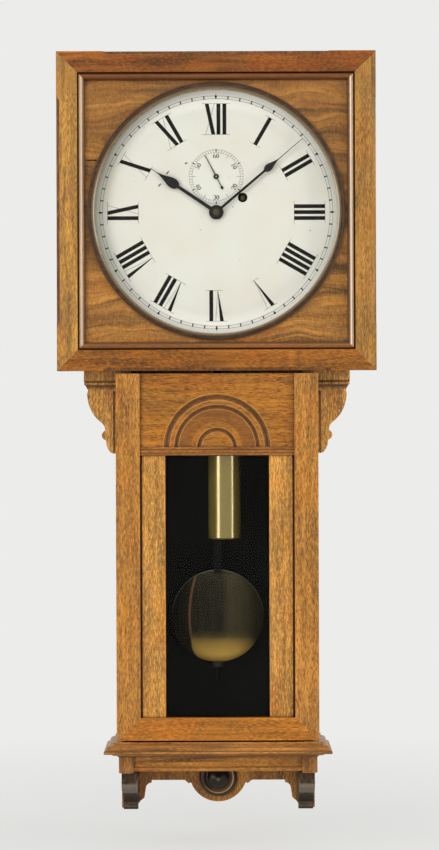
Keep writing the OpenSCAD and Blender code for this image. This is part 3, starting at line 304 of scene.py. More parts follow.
def fan_stain(s, tone):
    """Darker, redder wood in the carved fan, painted shade down in its grooves, and a
    painted highlight on their edges.
    """
    r = s.about(heights("header_panel")[0] - FAN_DROP)
    cloud = s.ramp(s.noise(s.point, 160, 3, 0.6), 0.35, 0.65, 0.7, 1)
    field = s.times(s.ramp(r, 56, 57.5, 0.75, 0), s.ramp(r, 36, 38, 0, 1))
    tone = s.mix(s.times(field, cloud), tone, colour(118, 70, 30))
    for middle, half in FAN_GROOVES:
        away = s.off(r, middle)
        # Painted shade down in each groove.
        groove = s.times(s.ramp(away, half * 0.35, half * 0.85, 0.95, 0), cloud)
        tone = s.mix(groove, tone, colour(70, 48, 30))
        # Painted highlight on the edges beside each groove.
        rim = s.ramp(s.off(away, half * 1.15), 0.3, 0.9, 0.6, 0)
        tone = s.mix(rim, tone, colour(196, 140, 76))
    return tone


def bead_stain(axis, bead, groove, glint):
    """Bead and groove at the inner edge of one member of the dial door: the worn bead's tone,
    which on the side members is partly a painted highlight, painted shade in the groove, and a
    painted highlight line along the bead.

    axis is that along which the edge lies away from the centre, 0 for x and 2 for z."""
    def overlay(s, tone):
        out = s.math("ABSOLUTE", s.parts()[axis])
        # Painted shade in the groove beside the bead.
        quirk_shade = s.ramp(out, GROOVE - 0.5, GROOVE + 0.5, 0.8, 0)
        # The bead's tone: worn, and on the side members partly a painted highlight.
        worn = s.times(s.ramp(out, GROOVE, GROOVE + 0.8),
                       s.ramp(out, BEAD_END - 0.4, BEAD_END + 0.4, 0.65, 0))
        tone = s.mix(worn, tone, colour(*bead))
        # Painted highlight line along the bead.
        shine = s.ramp(s.off(out, GROOVE + 1.4), 0.5, 1.1, glint, 0)
        tone = s.mix(shine, tone, colour(240, 222, 202))
        return s.mix(quirk_shade, tone, colour(*groove))
    return overlay


def panel_tones(s, tone):
    """The panel is a little browner towards its top."""
    return s.mix(s.ramp(s.parts()[2], -150, 200, 0, 0.32), tone, colour(96, 66, 38))


def ring_tones(s, tone):
    """Painted highlight on the inner slope, a lighter brown, and a worn, pale outer edge on
    the turned ring.
    """
    out = s.about(0)
    # Painted highlight on the inner slope.
    slope = s.ramp(out, RING_IN + 0.4, RING_IN + 2.8, 0.8, 0)
    tone = s.mix(slope, tone, colour(132, 104, 72))
    worn = s.ramp(out, RING_OUT - 1.5, RING_OUT - 0.3, 0, 0.75)
    return s.mix(worn, tone, colour(156, 122, 86))


def sight_tones(s, tone):
    """Olive-tan brass with a painted highlight, a pale stretch, at each side."""
    away = s.math("ABSOLUTE", s.parts()[2])
    return s.mix(s.ramp(away, 30, 90, 0.85, 0), tone, colour(238, 224, 194))


def turned_tones(s, tone):
    """Near-black boss with a painted highlight in its middle, a brown slope that is painted
    lighter towards the lower right, with a painted highlight on its ridge, and a dark rim.
    """
    middle = sum(heights("apron_roundel")) / 2
    out = s.about(middle)
    x, _, z = s.parts()
    # Painted light: brighter towards the lower right.
    lit = s.ramp(s.minus(x, s.minus(z, middle)), -12, 22)
    tone = s.mix(s.ramp(out, 15.5, 17.5, 0.75, 0), tone, colour(24, 18, 12))
    # Painted highlight in the middle of the boss.
    tone = s.mix(s.ramp(out, 1.5, 4.5, 0.6, 0), tone, colour(134, 120, 96))
    brown = s.times(s.ramp(out, 16.5, 19, 0, 0.75), s.ramp(out, 22.8, 23.6, 1, 0))
    tone = s.mix(s.times(brown, lit), tone, colour(150, 112, 72))
    # Painted highlight on the ridge.
    ridge = s.ramp(s.off(out, 22.2), 0.3, 0.9, 0.9, 0)
    tone = s.mix(s.times(ridge, lit), tone, colour(214, 182, 140))
    return s.mix(s.ramp(out, 23.2, 24.2, 0, 0.75), tone, colour(54, 38, 25))


def corbel_tones(s, tone):
    """Painted highlight, paler and greyer, on the swell and lip of a corbel's front, and
    painted shade in the waist between them.
    """
    up = s.minus(s.parts()[2], heights("lower_corbels")[0])
    swell = s.times(s.ramp(up, 25, 42), s.ramp(up, 46.5, 49.5, 0.75, 0))
    lip = s.times(s.ramp(up, 2.5, 5), s.ramp(up, 9, 13, 0.35, 0))
    tone = s.mix(s.math("MAXIMUM", swell, lip), tone, colour(132, 120, 104))
    waist = s.times(s.ramp(up, 10, 13), s.ramp(up, 23, 28, 0.6, 0))
    return s.mix(waist, tone, colour(34, 30, 24))


def cap_lines(s, tone):
    """Painted shade in the quirk over the bead of a bracket's cap, and in the cove below it."""
    down = s.minus(heights("upper_brackets")[1], s.parts()[2])
    quirk = s.ramp(s.off(down, 21.3), 0.5, 1.2, 0.85, 0)
    cove = s.times(s.ramp(down, 25.5, 27.5), s.ramp(down, 29, 34, 0.85, 0))
    tone = s.mix(quirk, tone, colour(58, 34, 18))
    return s.mix(cove, tone, colour(66, 40, 22))


def base_lines(s, tone):
    """Painted shade in the quirks of the base moulding and under its nose."""
    down = s.minus(heights("base_board")[1], s.parts()[2])
    for quirk, half, much in BASE_QUIRKS:
        quirk_shade = s.ramp(s.off(down, quirk), half * 0.4, half, much, 0)
        tone = s.mix(quirk_shade, tone, colour(72, 43, 22))
    return s.mix(s.ramp(down, 18.5, 20.5, 0, 0.7), tone, colour(62, 38, 20))


def dark_wood(name, axis, light, dark, rough, level=0.5, overlay=None):
    """Dark stained wood, worn paler in patches."""
    s = Shader(name)
    grain = s.stretch(by_axis(axis, 0.12))
    tone = s.mix(s.ramp(s.noise(grain, 260, 4, 0.6, 0.3), 0.35, 0.68),
                 colour(*dark), colour(*light))
    worn = s.ramp(s.noise(s.point, 60, 3, 0.6), 0.55, 0.8, 0, 0.5)
    tone = s.mix(worn, tone, colour(*shade(light, 1.5)))
    if overlay:
        tone = overlay(s, tone)
    s.set(Base_Color=tone, Roughness=rough, Specular_IOR_Level=level,
          Normal=s.bump(s.noise(grain, 520, 2), 0.12, 0.3))
    return s.mat


def metal(name, tone, spots, rough, metallic=1.0, patch=0.35, coat=0.0, coat_rough=0.06,
          overlay=None):
    """Metal with faint tarnish in clouds and fine spots."""
    s = Shader(name)
    cloud = s.noise(s.point, 70, 4, 0.6)
    fine = s.noise(s.point, 420, 2, 0.5)
    base = s.mix(s.ramp(cloud, 0.42, 0.78, 0, patch), colour(*tone), colour(*spots))
    base = s.mix(s.ramp(fine, 0.62, 0.8, 0, 0.3), base, colour(*spots))
    if overlay:
        base = overlay(s, base)
    s.set(Base_Color=base, Metallic=metallic, Coat_Weight=coat, Coat_Roughness=coat_rough,
          Roughness=s.ramp(cloud, 0.3, 0.8, rough * 0.85, rough * 1.35))
    return s.mat


def dial_paint():
    """Off-white paint with faint age spots, a painted shadow of the ring that makes it greyer at
    the left under the ring, and painted light that makes it whiter near the rim at its top and
    foot."""
    s = Shader("dial_paint_aged_light_and_shade")
    out = s.about(0)
    patch = s.noise(s.point, 14, 3, 0.5)
    tone = s.mix(s.ramp(patch, 0.4, 0.75), colour(228, 226, 216), colour(224, 219, 205))
    pink = s.ramp(s.noise(s.stretch((1, 1, 1), (3, 1, 2)), 9, 2), 0.5, 0.7, 0, 0.5)
    tone = s.mix(pink, tone, colour(228, 218, 206))
    x, _, z = s.parts()
    # Painted shadow of the ring, towards the left of the rim.
    left = s.ramp(x, -150, 20, 1, 0)
    tone = s.mix(s.times(s.ramp(out, 154, 170, 0, 0.5), left), tone, colour(196, 192, 176))
    tone = s.mix(s.times(s.ramp(out, 171, 177, 0, 0.4), left), tone, colour(160, 152, 124))
    # Painted light near the rim at the top and foot.
    ends = s.ramp(s.math("ABSOLUTE", z), 70, 150)
    tone = s.mix(s.times(s.ramp(out, 148, 162, 0, 0.9), ends), tone, colour(253, 250, 241))
    specks = s.ramp(s.noise(s.point, 230, 1), 0.74, 0.8, 0, 0.35)
    tone = s.mix(specks, tone, colour(176, 160, 136))
    s.set(Base_Color=tone, Roughness=0.5, Specular_IOR_Level=0.3)
    return s.mat


# The brown line and the bright foot below are painted reflections on the bob.
BOB_LINE = -41.5      # x of the brown line at the bob's middle
BOB_BEND = 0.0026     # how fast the line bends towards x = 0, above and below
FOOT_CORNER = (-12, -40.5)   # centre of the bright foot's rounded lower left corner
FOOT_ROUND = 27.5


def bob_patina():
    """Brass bob, dark olive partly as tarnish and partly as a painted reflection of the dark
    case, with more painted reflections: a brown line down its left for the case's edge, a
    bright foot for the pale ground below, and a pale rim at its upper edge; a little lighter
    to the right.
    """
    s = Shader("bob_patina")
    x, _, z = s.parts()
    middle = sum(heights("pendulum_bob")) / 2
    up = s.minus(z, middle)
    cloud = s.noise(s.point, 60, 4, 0.6)
    streak = s.noise(s.stretch((1, 1, 0.12)), 240, 3, 0.6)
    tone = s.mix(s.ramp(streak, 0.35, 0.7), colour(26, 23, 10), colour(40, 34, 15))
    right = s.times(s.ramp(x, 6, 18), s.ramp(streak, 0.3, 0.6, 0.6, 1))
    tone = s.mix(right, tone, colour(62, 55, 32))
    bend = s.times(s.times(up, up), BOB_BEND)
    # Painted reflection of the case's edge.
    line = s.ramp(s.off(s.minus(x, BOB_LINE), bend), 0.8, 2.6, 0.95, 0)
    tone = s.mix(line, tone, colour(112, 76, 40))
    across = s.math("MAXIMUM", s.minus(FOOT_CORNER[0], x))
    down = s.math("MAXIMUM", s.minus(FOOT_CORNER[1], up))
    foot = s.times(s.ramp(s.length(across, down), FOOT_ROUND - 2, FOOT_ROUND, 1, 0),
                   s.ramp(x, 46, 58, 1, 0))
    height = s.math("ADD", up, s.ramp(cloud, 0.3, 0.7, -2, 2))
    # Painted reflection of the pale ground on the bob's foot.
    tone = s.mix(s.times(s.ramp(height, -37, -20, 1, 0), foot), tone, colour(92, 76, 38))
    tone = s.mix(s.times(s.ramp(height, -56, -30, 1, 0), foot), tone, colour(206, 166, 78))
    # Painted highlight along the bob's upper rim.
    rim = s.times(s.ramp(s.about(middle), 65.8, 67.2), s.ramp(up, -10, 30))
    tone = s.mix(rim, tone, colour(92, 86, 68))
    s.set(Base_Color=tone, Metallic=0.55, Roughness=s.ramp(cloud, 0.3, 0.8, 0.32, 0.45),
          Specular_IOR_Level=0.2)
    return s.mat


def plain(name, tone, rough, speck=0.12, scale=300, level=0.5):
    """Paint or ink with a faint, fine unevenness."""
    s = Shader(name)
    cloud = s.ramp(s.noise(s.point, scale, 3, 0.6), 0.35, 0.75, 0, speck)
    paler = [min(255, c * 1.9 + 14) for c in tone]
    s.set(Base_Color=s.mix(cloud, colour(*tone), colour(*paler)), Roughness=rough,
          Specular_IOR_Level=level)
    return s.mat


GLASS_IOR = 1.13   # lower than real glass, whose reflection would veil the dark throat


def glass(name):
    """Clear sheet glass: see-through, with a reflection that grows at a slant."""
    s = Shader(name)
    s.tree.nodes.remove(s.bsdf)
    clear = s.add("ShaderNodeBsdfTransparent", {"Color": (0.99, 0.995, 0.99, 1)})
    shine = s.add("ShaderNodeBsdfGlossy", {"Color": (1, 1, 1, 1), "Roughness": 0.03})
    edge = s.add("ShaderNodeFresnel", {"IOR": GLASS_IOR})
    both = s.add("ShaderNodeMixShader", {
        0: edge.outputs[0], 1: clear.outputs[0], 2: shine.outputs[0]})
    s.tree.links.new(both.outputs[0], s.output.inputs["Surface"])
    return s.mat


WOODS = {
    # The dial door's members: the bead tone, paler at the sides partly as a painted highlight, the
    # colour of the painted shade in the groove, and the strength of the painted highlight line on
    # the bead.
    "frame_left": oak("frame_left", "z", (168, 120, 46), 1, coat=0.85, mottle=0.55, spread=0.24,
                      overlay=bead_stain(0, (176, 144, 112), (78, 50, 26), 0.5)),
    "frame_right": oak("frame_right", "z", (160, 112, 40), 21, coat=0.85, mottle=0.55, spread=0.24,
                       overlay=bead_stain(0, (172, 140, 108), (84, 54, 28), 0.9)),
    "frame_top": oak("frame_top", "x", (138, 80, 26), 2, mottle=0.55, warmth=0.7, spread=0.36,
                     overlay=bead_stain(2, (98, 60, 30), (84, 48, 22), 0.0)),
    "frame_bottom": oak("frame_bottom", "x", (154, 94, 28), 3, mottle=0.55, spread=0.3,
                        overlay=bead_stain(2, (116, 78, 46), (104, 68, 38), 0.0)),
    "panel": oak("panel", "x", (149, 102, 46), 4, band=64, spread=0.42, cross=True, pore=0.35,
                 mottle=0.42, wave=0.85, warp=0.014, corner_shade=(2.5, 0.6), overlay=panel_tones),
    "stile": oak("stile", "z", (179, 122, 53), 5, band=90, mottle=0.6, spread=0.2),
    "sight_stile": oak("sight_stile", "z", (198, 141, 66), 6, mottle=0.6, pore=0.4, spread=0.2),
    "header": oak("header", "x", (168, 108, 36), 7, mottle=0.4, pore=0.8, pore_len=0.12,
                  overlay=fan_stain),
    "rail": oak("rail", "x", (184, 116, 36), 8, mottle=0.5, spread=0.24, pore=0.4),
    "header_rail": oak("header_rail", "x", (156, 99, 40), 18, mottle=0.5, pore=0.5),
    "base": oak("base", "x", (172, 116, 52), 9, spread=0.34, mottle=0.4, pore=0.55,
                overlay=base_lines),
    "frieze": oak("frieze", "x", (176, 118, 48), 19, spread=0.36, mottle=0.5, pore=0.6),
    "bracket": oak("bracket", "z", (196, 144, 74), 10, spread=0.26, mottle=0.7, pore=0.6,
                   overlay=cap_lines),
    "block": oak("block", "z", (152, 104, 50), 17, spread=0.38, mottle=0.6, pore=0.6),
    "side": oak("side", "z", (170, 118, 50), 11, mottle=0.6),
    "board_x": oak("board_x", "x", (168, 114, 48), 12, mottle=0.6),
    "rail_y": oak("rail_y", "y", (168, 114, 48), 13, mottle=0.6),
    "back": oak("back", "z", (184, 127, 56), 14, pore=0.65, mottle=0.6, spread=0.26),
}
CORBEL = dark_wood("corbel_wood", "z", (84, 66, 46), (34, 26, 18), 0.5, 0.15, corbel_tones)
RING = dark_wood("ring_wood", "x", (76, 53, 35), (46, 31, 19), 0.34, 0.2, ring_tones)
ROUNDEL = dark_wood("roundel_wood", "x", (84, 62, 42), (34, 25, 17), 0.3, 0.3,
                    turned_tones)
# Darker wood on the chamfers of the dial door: painted shade.
SHADED_CHAMFER = dark_wood("chamfer_wood_shaded", "z", (136, 90, 50), (84, 52, 27), 0.5, 0.2)
EBONISED = dark_wood("rod_wood", "z", (20, 19, 17), (12, 11, 10), 0.6, 0.08)
TARNISHED = metal("brass_tarnished", (52, 44, 28), (30, 26, 18), 0.45, metallic=0.7)
# Near-black for the faces inside the throat, the glass beads and the dark joints.
NEAR_BLACK = plain("near_black", (7, 6, 4), 0.8, speck=0.05, level=0.05)
INK = plain("dial_ink", (16, 15, 11), 0.6, speck=0.3, level=0.1)
FADED = plain("faded_ink", (46, 43, 36), 0.7, speck=0.3)
STAIN = plain("stain", (98, 84, 66), 0.8, speck=0.4, scale=700)
BRASS = metal("brass_satin", (196, 160, 92), (130, 98, 50), 0.3)
# Movement plates in a darkened brass: painted shade for the dark behind the dial.
PLATES = metal("brass_plates_shaded", (48, 40, 24), (30, 25, 16), 0.5)
AGED = metal("brass_aged", (92, 80, 54), (52, 44, 28), 0.45)
SIGHT = metal("brass_ring", (152, 134, 98), (122, 104, 70), 0.28, overlay=sight_tones)
WEIGHT = metal("brass_weight", (140, 119, 52), (118, 98, 42), 0.2, metallic=0.5, patch=0.5,
               coat=1.0, coat_rough=0.13)
STEEL = metal("steel_satin", (150, 152, 154), (96, 92, 86), 0.34)
NUT = metal("nut_worn", (84, 78, 68), (44, 40, 34), 0.4, patch=0.8)
BLUED = metal("blued_steel_dark", (46, 44, 44), (30, 27, 25), 0.34)
IRON = plain("japanned_iron", (32, 29, 26), 0.35)
CABLE = metal("cable_strand", (126, 118, 96), (84, 76, 60), 0.45)
DIAL = dial_paint()
BOB = bob_patina()
GLASS = glass("sheet_glass")


WELD = 1e-6
SMOOTH = math.radians(35)
SHARP = math.radians(28)
FLAT = math.radians(0.5)


def solids(mesh):
    """The separate solids of a mesh, welded, in order of their places.

    Their vertices and faces keep the mesh's order, because a set's own order differs from
    run to run, and with it the rounded edges that are made from them."""
    whole = bmesh.new()
    whole.from_mesh(mesh)
    bmesh.ops.remove_doubles(whole, verts=whole.verts, dist=WELD)
    whole.verts.index_update()
    whole.faces.index_update()
    left = set(whole.verts)
    parts = []
    while left:
        stack = [left.pop()]
        island = set(stack)
        while stack:
            for e in stack.pop().link_edges:
                for v in e.verts:
                    if v in left:
                        left.discard(v)
                        island.add(v)
                        stack.append(v)
        part = bmesh.new()
        copies = {v: part.verts.new(v.co) for v in sorted(island, key=lambda v: v.index)}
        faces = {f for v in island for f in v.link_faces}
        for f in sorted(faces, key=lambda f: f.index):
            part.faces.new([copies[v] for v in f.verts])
        middle = sum((v.co for v in part.verts), Vector()) / len(part.verts)
        parts.append((tuple(round(c, 5) for c in (middle.x, middle.z, middle.y)), part))
    whole.free()
    return [part for _, part in sorted(parts, key=lambda p: p[0])]


def add_piece(name, shape, body, slot, *materials):
    """Makes an object of a bmesh, riding on a body unless that is None.

    The materials come before the mesh is filled, since its faces would lose their choice of
    them otherwise."""
    mesh = bpy.data.meshes.new(name)
    for m in materials:
        mesh.materials.append(m)
    shape.to_mesh(mesh)
    shape.free()
    piece = bpy.data.objects.new(name, mesh)
    bpy.context.scene.collection.objects.link(piece)
    for p in mesh.polygons:
        p.use_smooth = True
    mesh.set_sharp_from_angle(angle=SMOOTH)
    if body:
        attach(piece, body)
    return piece


def soften(shape, width):
    """Rounds the sharp edges of a solid a little, as worn wood and metal are."""
    bmesh.ops.dissolve_limit(shape, angle_limit=FLAT, verts=shape.verts, edges=shape.edges)
    sharp = [e for e in shape.edges if e.is_manifold and e.calc_face_angle(0) > SHARP]
    bmesh.ops.bevel(shape, geom=sharp, offset=width * MM, segments=2, profile=0.6,
                    affect="EDGES", clamp_overlap=True)
    bmesh.ops.recalc_face_normals(shape, faces=shape.faces)


def weigh_normals(piece):
    """Keeps the flat faces flat beside their rounded edges."""
    weighted = piece.modifiers.new("flat_faces", "WEIGHTED_NORMAL")
    weighted.keep_sharp = True
    weighted.weight = 80


def split(shape, where, across):
    """Cuts the faces of a solid along a plane, which leaves its shape as it is.

    The cut leaves the faces in an order of its own in each run, so they're put in order."""
    bmesh.ops.bisect_plane(shape, geom=shape.verts[:] + shape.edges[:] + shape.faces[:],
                           plane_co=where, plane_no=across, dist=WELD)
    for i, f in enumerate(sorted(shape.faces, key=lambda f: f.calc_center_median()[:])):
        f.index = i
    shape.faces.sort()


def dress(node, body, slot, pick, width=0.6, second=None, test=None):
    """Replaces a node by its own solids with softened edges, each in its own material.

    pick is a material, or gives one from a solid's lowest and highest corners. test says
    which faces, by middle and direction, have the second material. Where that is the
    near-black, the faces are cut first at the borders of the throat. width is in millimetres."""
    for i, shape in enumerate(solids(nodes[node].data)):
        soften(shape, width)
        low = Vector([min(v.co[k] for v in shape.verts) for k in range(3)])
        high = Vector([max(v.co[k] for v in shape.verts) for k in range(3)])
        materials = [pick(low, high) if callable(pick) else pick]
        if second is NEAR_BLACK:
            for x in (-CASE_IN, CASE_IN):
                split(shape, place(x, 0, 0), (1, 0, 0))
            for z in (CASE_BOTTOM, LINED_TOP):
                split(shape, place(0, 0, z), (0, 0, 1))
        if second:
            materials.append(second)
            shape.normal_update()
            for f in shape.faces:
                f.material_index = 1 if test(f.calc_center_median(), f.normal) else 0
        piece = add_piece(f"{node}_{i + 1}", shape, body, slot, *materials)
        weigh_normals(piece)
        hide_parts(node)


CHAMFER_W = 5


def on_chamfer(middle, normal):
    """True for the stopped chamfers on the outer front edges of the dial door, which get a
    darker wood as painted shade, apart from the right edge, whose chamfers are left as pale as its
    wood."""
    reach = max(abs(middle.x), abs(middle.z - CENTRE_Z)) / MM
    lean = max(abs(normal.x), abs(normal.z))
    if reach < FRAME_HALF - CHAMFER_W or middle.x / MM > FRAME_HALF - CHAMFER_W:
        return False
    return 0.5 < lean < 0.9 and normal.y < -0.4


def inside_throat(middle, normal):
    """True for the faces that look into the inside of the throat, which are made near-black."""
    z = (middle.z - CENTRE_Z) / MM
    x = abs(middle.x) / MM
    if not CASE_BOTTOM - 1 < z < LINED_TOP + 1 or x > CASE_IN + 0.5:
        return False
    toward = -normal.x * (1 if middle.x > 0 else -1)
    return normal.y < -0.9 or toward > 0.9 or normal.z > 0.9


def member(low, high):
    """Material of one member of the dial door's frame."""
    size = high - low
    if size.z > size.x:
        return WOODS["frame_left" if low.x < 0 else "frame_right"]
    return WOODS["frame_top"] if low.z > CENTRE_Z else WOODS["frame_bottom"]


def rail(low, high):
    """Material of a rail of the frieze, by the way it runs."""
    return WOODS["frieze"] if high.x - low.x > high.y - low.y else WOODS["rail_y"]


def dress_case():
    for node in ("backboard", "back_wings"):
        dress(node, "case", "oak_panel", WOODS["back"], second=NEAR_BLACK, test=inside_throat)
    dress("box_sides", "case", "oak", WOODS["side"])
    dress("box_boards", "case", "oak", WOODS["board_x"])
    dress("case_sides", "case", "oak", WOODS["side"], second=NEAR_BLACK, test=inside_throat)
    dress("base_board", "case", "oak", WOODS["base"], 0.4, second=NEAR_BLACK, test=inside_throat)
    dress("frieze_rails", "case", "oak", rail, 0.4)
    dress("frieze_blocks", "case", "oak", WOODS["block"], 0.4)
    dress("upper_brackets", "case", "oak", WOODS["bracket"], 0.5)
    dress("lower_corbels", "case", "dark_wood", CORBEL, 0.4)


def dress_doors():
    dress("dial_frame", "dial_door", "oak", member, 0.35, second=SHADED_CHAMFER, test=on_chamfer)
    dress("dial_panel", "dial_door", "oak_panel", WOODS["panel"], 0.3)
    dress("door_stiles", "lower_door", "oak", WOODS["stile"], 0.4)
    dress("door_bottom_rail", "lower_door", "oak", WOODS["rail"], 0.4)
    dress("header_panel", "lower_door", "oak", WOODS["header"], 0.3)
    dress("header_rail", "lower_door", "oak", WOODS["header_rail"], 0.3)
    dress("sight_stiles", "lower_door", "oak", WOODS["sight_stile"], 0.4)
    dress("glass_beads", "lower_door", "oak", NEAR_BLACK, 0.4)


def finish_nodes():
    """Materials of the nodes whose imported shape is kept."""
    table = {
        "dial": DIAL, "apron_roundel": ROUNDEL, "dial_ring": RING, "sight_ring": SIGHT,
        "dial_glass": GLASS, "door_glass": GLASS, "dial_battens": WOODS["back"],
        "movement_seat": IRON, "pendulum_bob": BOB, "weight_body": WEIGHT,
        "pendulum_rod": EBONISED, "movement_plates": PLATES, "winding_drum": AGED,
        "hand_nut": NUT, "rating_nut": TARNISHED,
    }
    for names, material in (
        ("round_head_screws hanger_plate cable_hook weight_stirrup verge_crutch", STEEL),
        ("centre_arbor", AGED),
        ("plate_pillars suspension_cock case_hinge_leaves hinge_pins "
         "catch_strikes dial_door_hinges dial_door_catch lower_door_hinges lower_door_catch "
         "cannon_pinion hour_wheel minute_wheel third_wheel escape_wheel "
         "great_wheel weight_pulley", BRASS),
    ):
        for name in names.split():
            table[name] = material
    for name, material in table.items():
        slots = nodes[name].data.materials
        slots.clear()
        slots.append(material)


def dress_hands():
    for node, body in (("minute_hand", "minute"), ("hour_hand", "hour"),
                       ("seconds_hand", "escape")):
        dress(node, body, "blued_steel", BLUED, 0.22)


# Dial printing: thin solids on the dial, from outlines of (x, z) in millimetres. Those that
# overlap differ a little in height, so that no two faces coincide.

def prism(shape, outline, back, front):
    """Adds a thin solid with the given outline, as seen from the front."""
    rear = [shape.verts.new(place(x, back, z)) for x, z in outline]
    face = [shape.verts.new(place(x, front, z)) for x, z in outline]
    shape.faces.new(rear)
    shape.faces.new(face)
    for i in range(len(outline)):
        j = (i + 1) % len(outline)
        shape.faces.new((rear[i], rear[j], face[j], face[i]))


def hoop(shape, x, z, r_in, r_out, back, front, steps=180):
    """Adds a thin flat ring."""
    rows = []
    for i in range(steps):
        a = 2 * math.pi * i / steps
        rows.append([shape.verts.new(place(x + r * math.sin(a), d, z + r * math.cos(a)))
                     for r, d in ((r_in, back), (r_out, back), (r_out, front), (r_in, front))])
    for i in range(steps):
        a, b = rows[i], rows[(i + 1) % steps]
        for k in range(4):
            shape.faces.new((a[k], b[k], b[(k + 1) % 4], a[(k + 1) % 4]))


def turned_about(points, degrees, radius=0.0, x=0.0, z=0.0):
    """Points drawn upright at a radius above a centre, turned clockwise about it."""
    a = math.radians(degrees)
    return [(x + u * math.cos(a) + (v + radius) * math.sin(a),
             z - u * math.sin(a) + (v + radius) * math.cos(a)) for u, v in points]


def stroke(x0, z0, x1, z1, w0, w1=None):
    """Outline of a straight stroke whose ends lie level."""
    w1 = w0 if w1 is None else w1
    return [(x0 - w0 / 2, z0), (x0 + w0 / 2, z0), (x1 + w1 / 2, z1), (x1 - w1 / 2, z1)]


def letter_strokes(letter, x, low, high):
    """Heavy and thin strokes of one letter, drawn between two heights about x."""
    if letter == "I":
        return [stroke(x, low, x, high, HEAVY)]
    half = LETTER[letter] / 2 - HEAVY / 2 - 0.3
    if letter == "X":
        return [stroke(x + half, low, x - half, high, HEAVY),
                stroke(x - half - 1.5, low, x + half + 1.5, high, THIN)]
    return [stroke(x + half * 0.55, low, x - half * 0.75, high, 0.5, HEAVY),
            stroke(x + half * 0.55, low, x + half + 1.0, high, THIN)]


# How far the serif line stops short of the cell's left or right at the foot of a V
V_LEFT = 6
V_RIGHT = 5


def numeral(shape, word, hour):
    """One Roman numeral, feet towards the centre, with thin serif lines.

    Each stroke is a hair lower than the one before, so that no two faces coincide."""
    wide = sum(LETTER[c] for c in word)
    x = -wide / 2
    outlines = []
    for c in word:
        outlines += letter_strokes(c, x + LETTER[c] / 2, NUMERAL_IN, NUMERAL_OUT)
        x += LETTER[c]
    for z, inner in ((NUMERAL_IN, True), (NUMERAL_OUT, False)):
        left = -wide / 2 - SERIF + (V_LEFT if inner and word[0] == "V" else 0)
        right = wide / 2 + SERIF - (V_RIGHT if inner and word[-1] == "V" else 0)
        outlines.append([(left, z - THIN / 2), (right, z - THIN / 2),
                         (right, z + THIN / 2), (left, z + THIN / 2)])
    for i, outline in enumerate(outlines):
        prism(shape, turned_about(outline, 30 * hour), DIAL_FRONT,
              DIAL_FRONT + INK_T - STROKE_STEP * i)


def print_numerals():
    shape = bmesh.new()
    words = ["XII", "I", "II", "III", "IIII", "V", "VI", "VII", "VIII", "IX", "X", "XI"]
    for hour, word in enumerate(words):
        numeral(shape, word, hour)
    return shape


def box_outline(half, low, high):
    return [(-half, low), (half, low), (half, high), (-half, high)]


# Marks of the two tracks, drawn upright about the track's outer line
QUARTER_DART = [(0, -5.2), (1.7, -0.6), (0.5, 1.2), (0, 3.6), (-0.5, 1.2), (-1.7, -0.6)]
FIFTH_DART = [(0, -4.2), (1.9, 0.4), (0.8, 1.3), (-0.8, 1.3), (-1.9, 0.4)]
MINUTE_TICK = box_outline(0.85, -4.6, 0.5)
TENTH_DART = [(0, -4.6), (1.3, -1.0), (0.4, 0), (0, 2.2), (-0.4, 0), (-1.3, -1.0)]
LONG_TICK = box_outline(0.24, -9.6, 0)
SECOND_TICK = box_outline(0.24, -4.4, 0)


def print_track():
    """Minute track: two thin circles, a tick each minute and a dart at each fifth."""
    shape = bmesh.new()
    for r in (TRACK_R, TRACK_R - TRACK_W):
        hoop(shape, 0, 0, r - TRACK_LINE / 2, r + TRACK_LINE / 2, DIAL_FRONT,
             DIAL_FRONT + INK_T)
    for minute in range(60):
        if minute % 15 == 0:
            outline = QUARTER_DART
        elif minute % 5 == 0:
            outline = FIFTH_DART
        else:
            outline = MINUTE_TICK
        prism(shape, turned_about(outline, 6 * minute, TRACK_R), DIAL_FRONT,
              DIAL_FRONT + INK_T * 0.9)
    return shape


def digit_paths(digit):
    """Pen strokes of a figure in a cell 1 wide and 1.5 high, as lists of (x, z, width)."""
    def sweep(cx, cz, rx, rz, a0, a1, thick, n=14):
        path = []
        for i in range(n + 1):
            a = math.radians(a0 + (a1 - a0) * i / n)
            path.append((cx + rx * math.sin(a), cz + rz * math.cos(a),
                         0.07 + thick * abs(math.sin(a))))
        return path
    return {
        "0": [sweep(0, 0, 0.34, 0.68, 0, 360, 0.16, 28)],
        "1": [[(0, -0.7, 0.2), (0, 0.7, 0.2)], [(-0.24, 0.5, 0.07), (0, 0.7, 0.1)],
              [(-0.26, -0.7, 0.08), (0.26, -0.7, 0.08)]],
        "2": [sweep(0, 0.3, 0.34, 0.38, -80, 130, 0.14)
              + [(-0.1, -0.35, 0.1), (-0.36, -0.66, 0.08)],
              [(-0.36, -0.64, 0.14), (0.36, -0.64, 0.14)]],
        "3": [sweep(-0.02, 0.34, 0.3, 0.34, -70, 170, 0.13),
              sweep(-0.02, -0.34, 0.36, 0.36, 10, 250, 0.16)],
        "4": [[(0.12, -0.7, 0.18), (0.12, 0.7, 0.18)], [(0.08, 0.7, 0.08), (-0.4, -0.26, 0.08)],
              [(-0.42, -0.26, 0.1), (0.4, -0.26, 0.1)]],
        "5": [[(-0.24, 0.66, 0.12), (0.3, 0.66, 0.12)], [(-0.24, 0.66, 0.08), (-0.28, 0.1, 0.08)],
              sweep(-0.02, -0.24, 0.36, 0.42, -40, 240, 0.16)],
        "6": [sweep(0, -0.3, 0.34, 0.38, 0, 360, 0.15, 24),
              sweep(0.1, -0.2, 0.44, 0.88, -90, 20, 0.1)],
    }[digit]


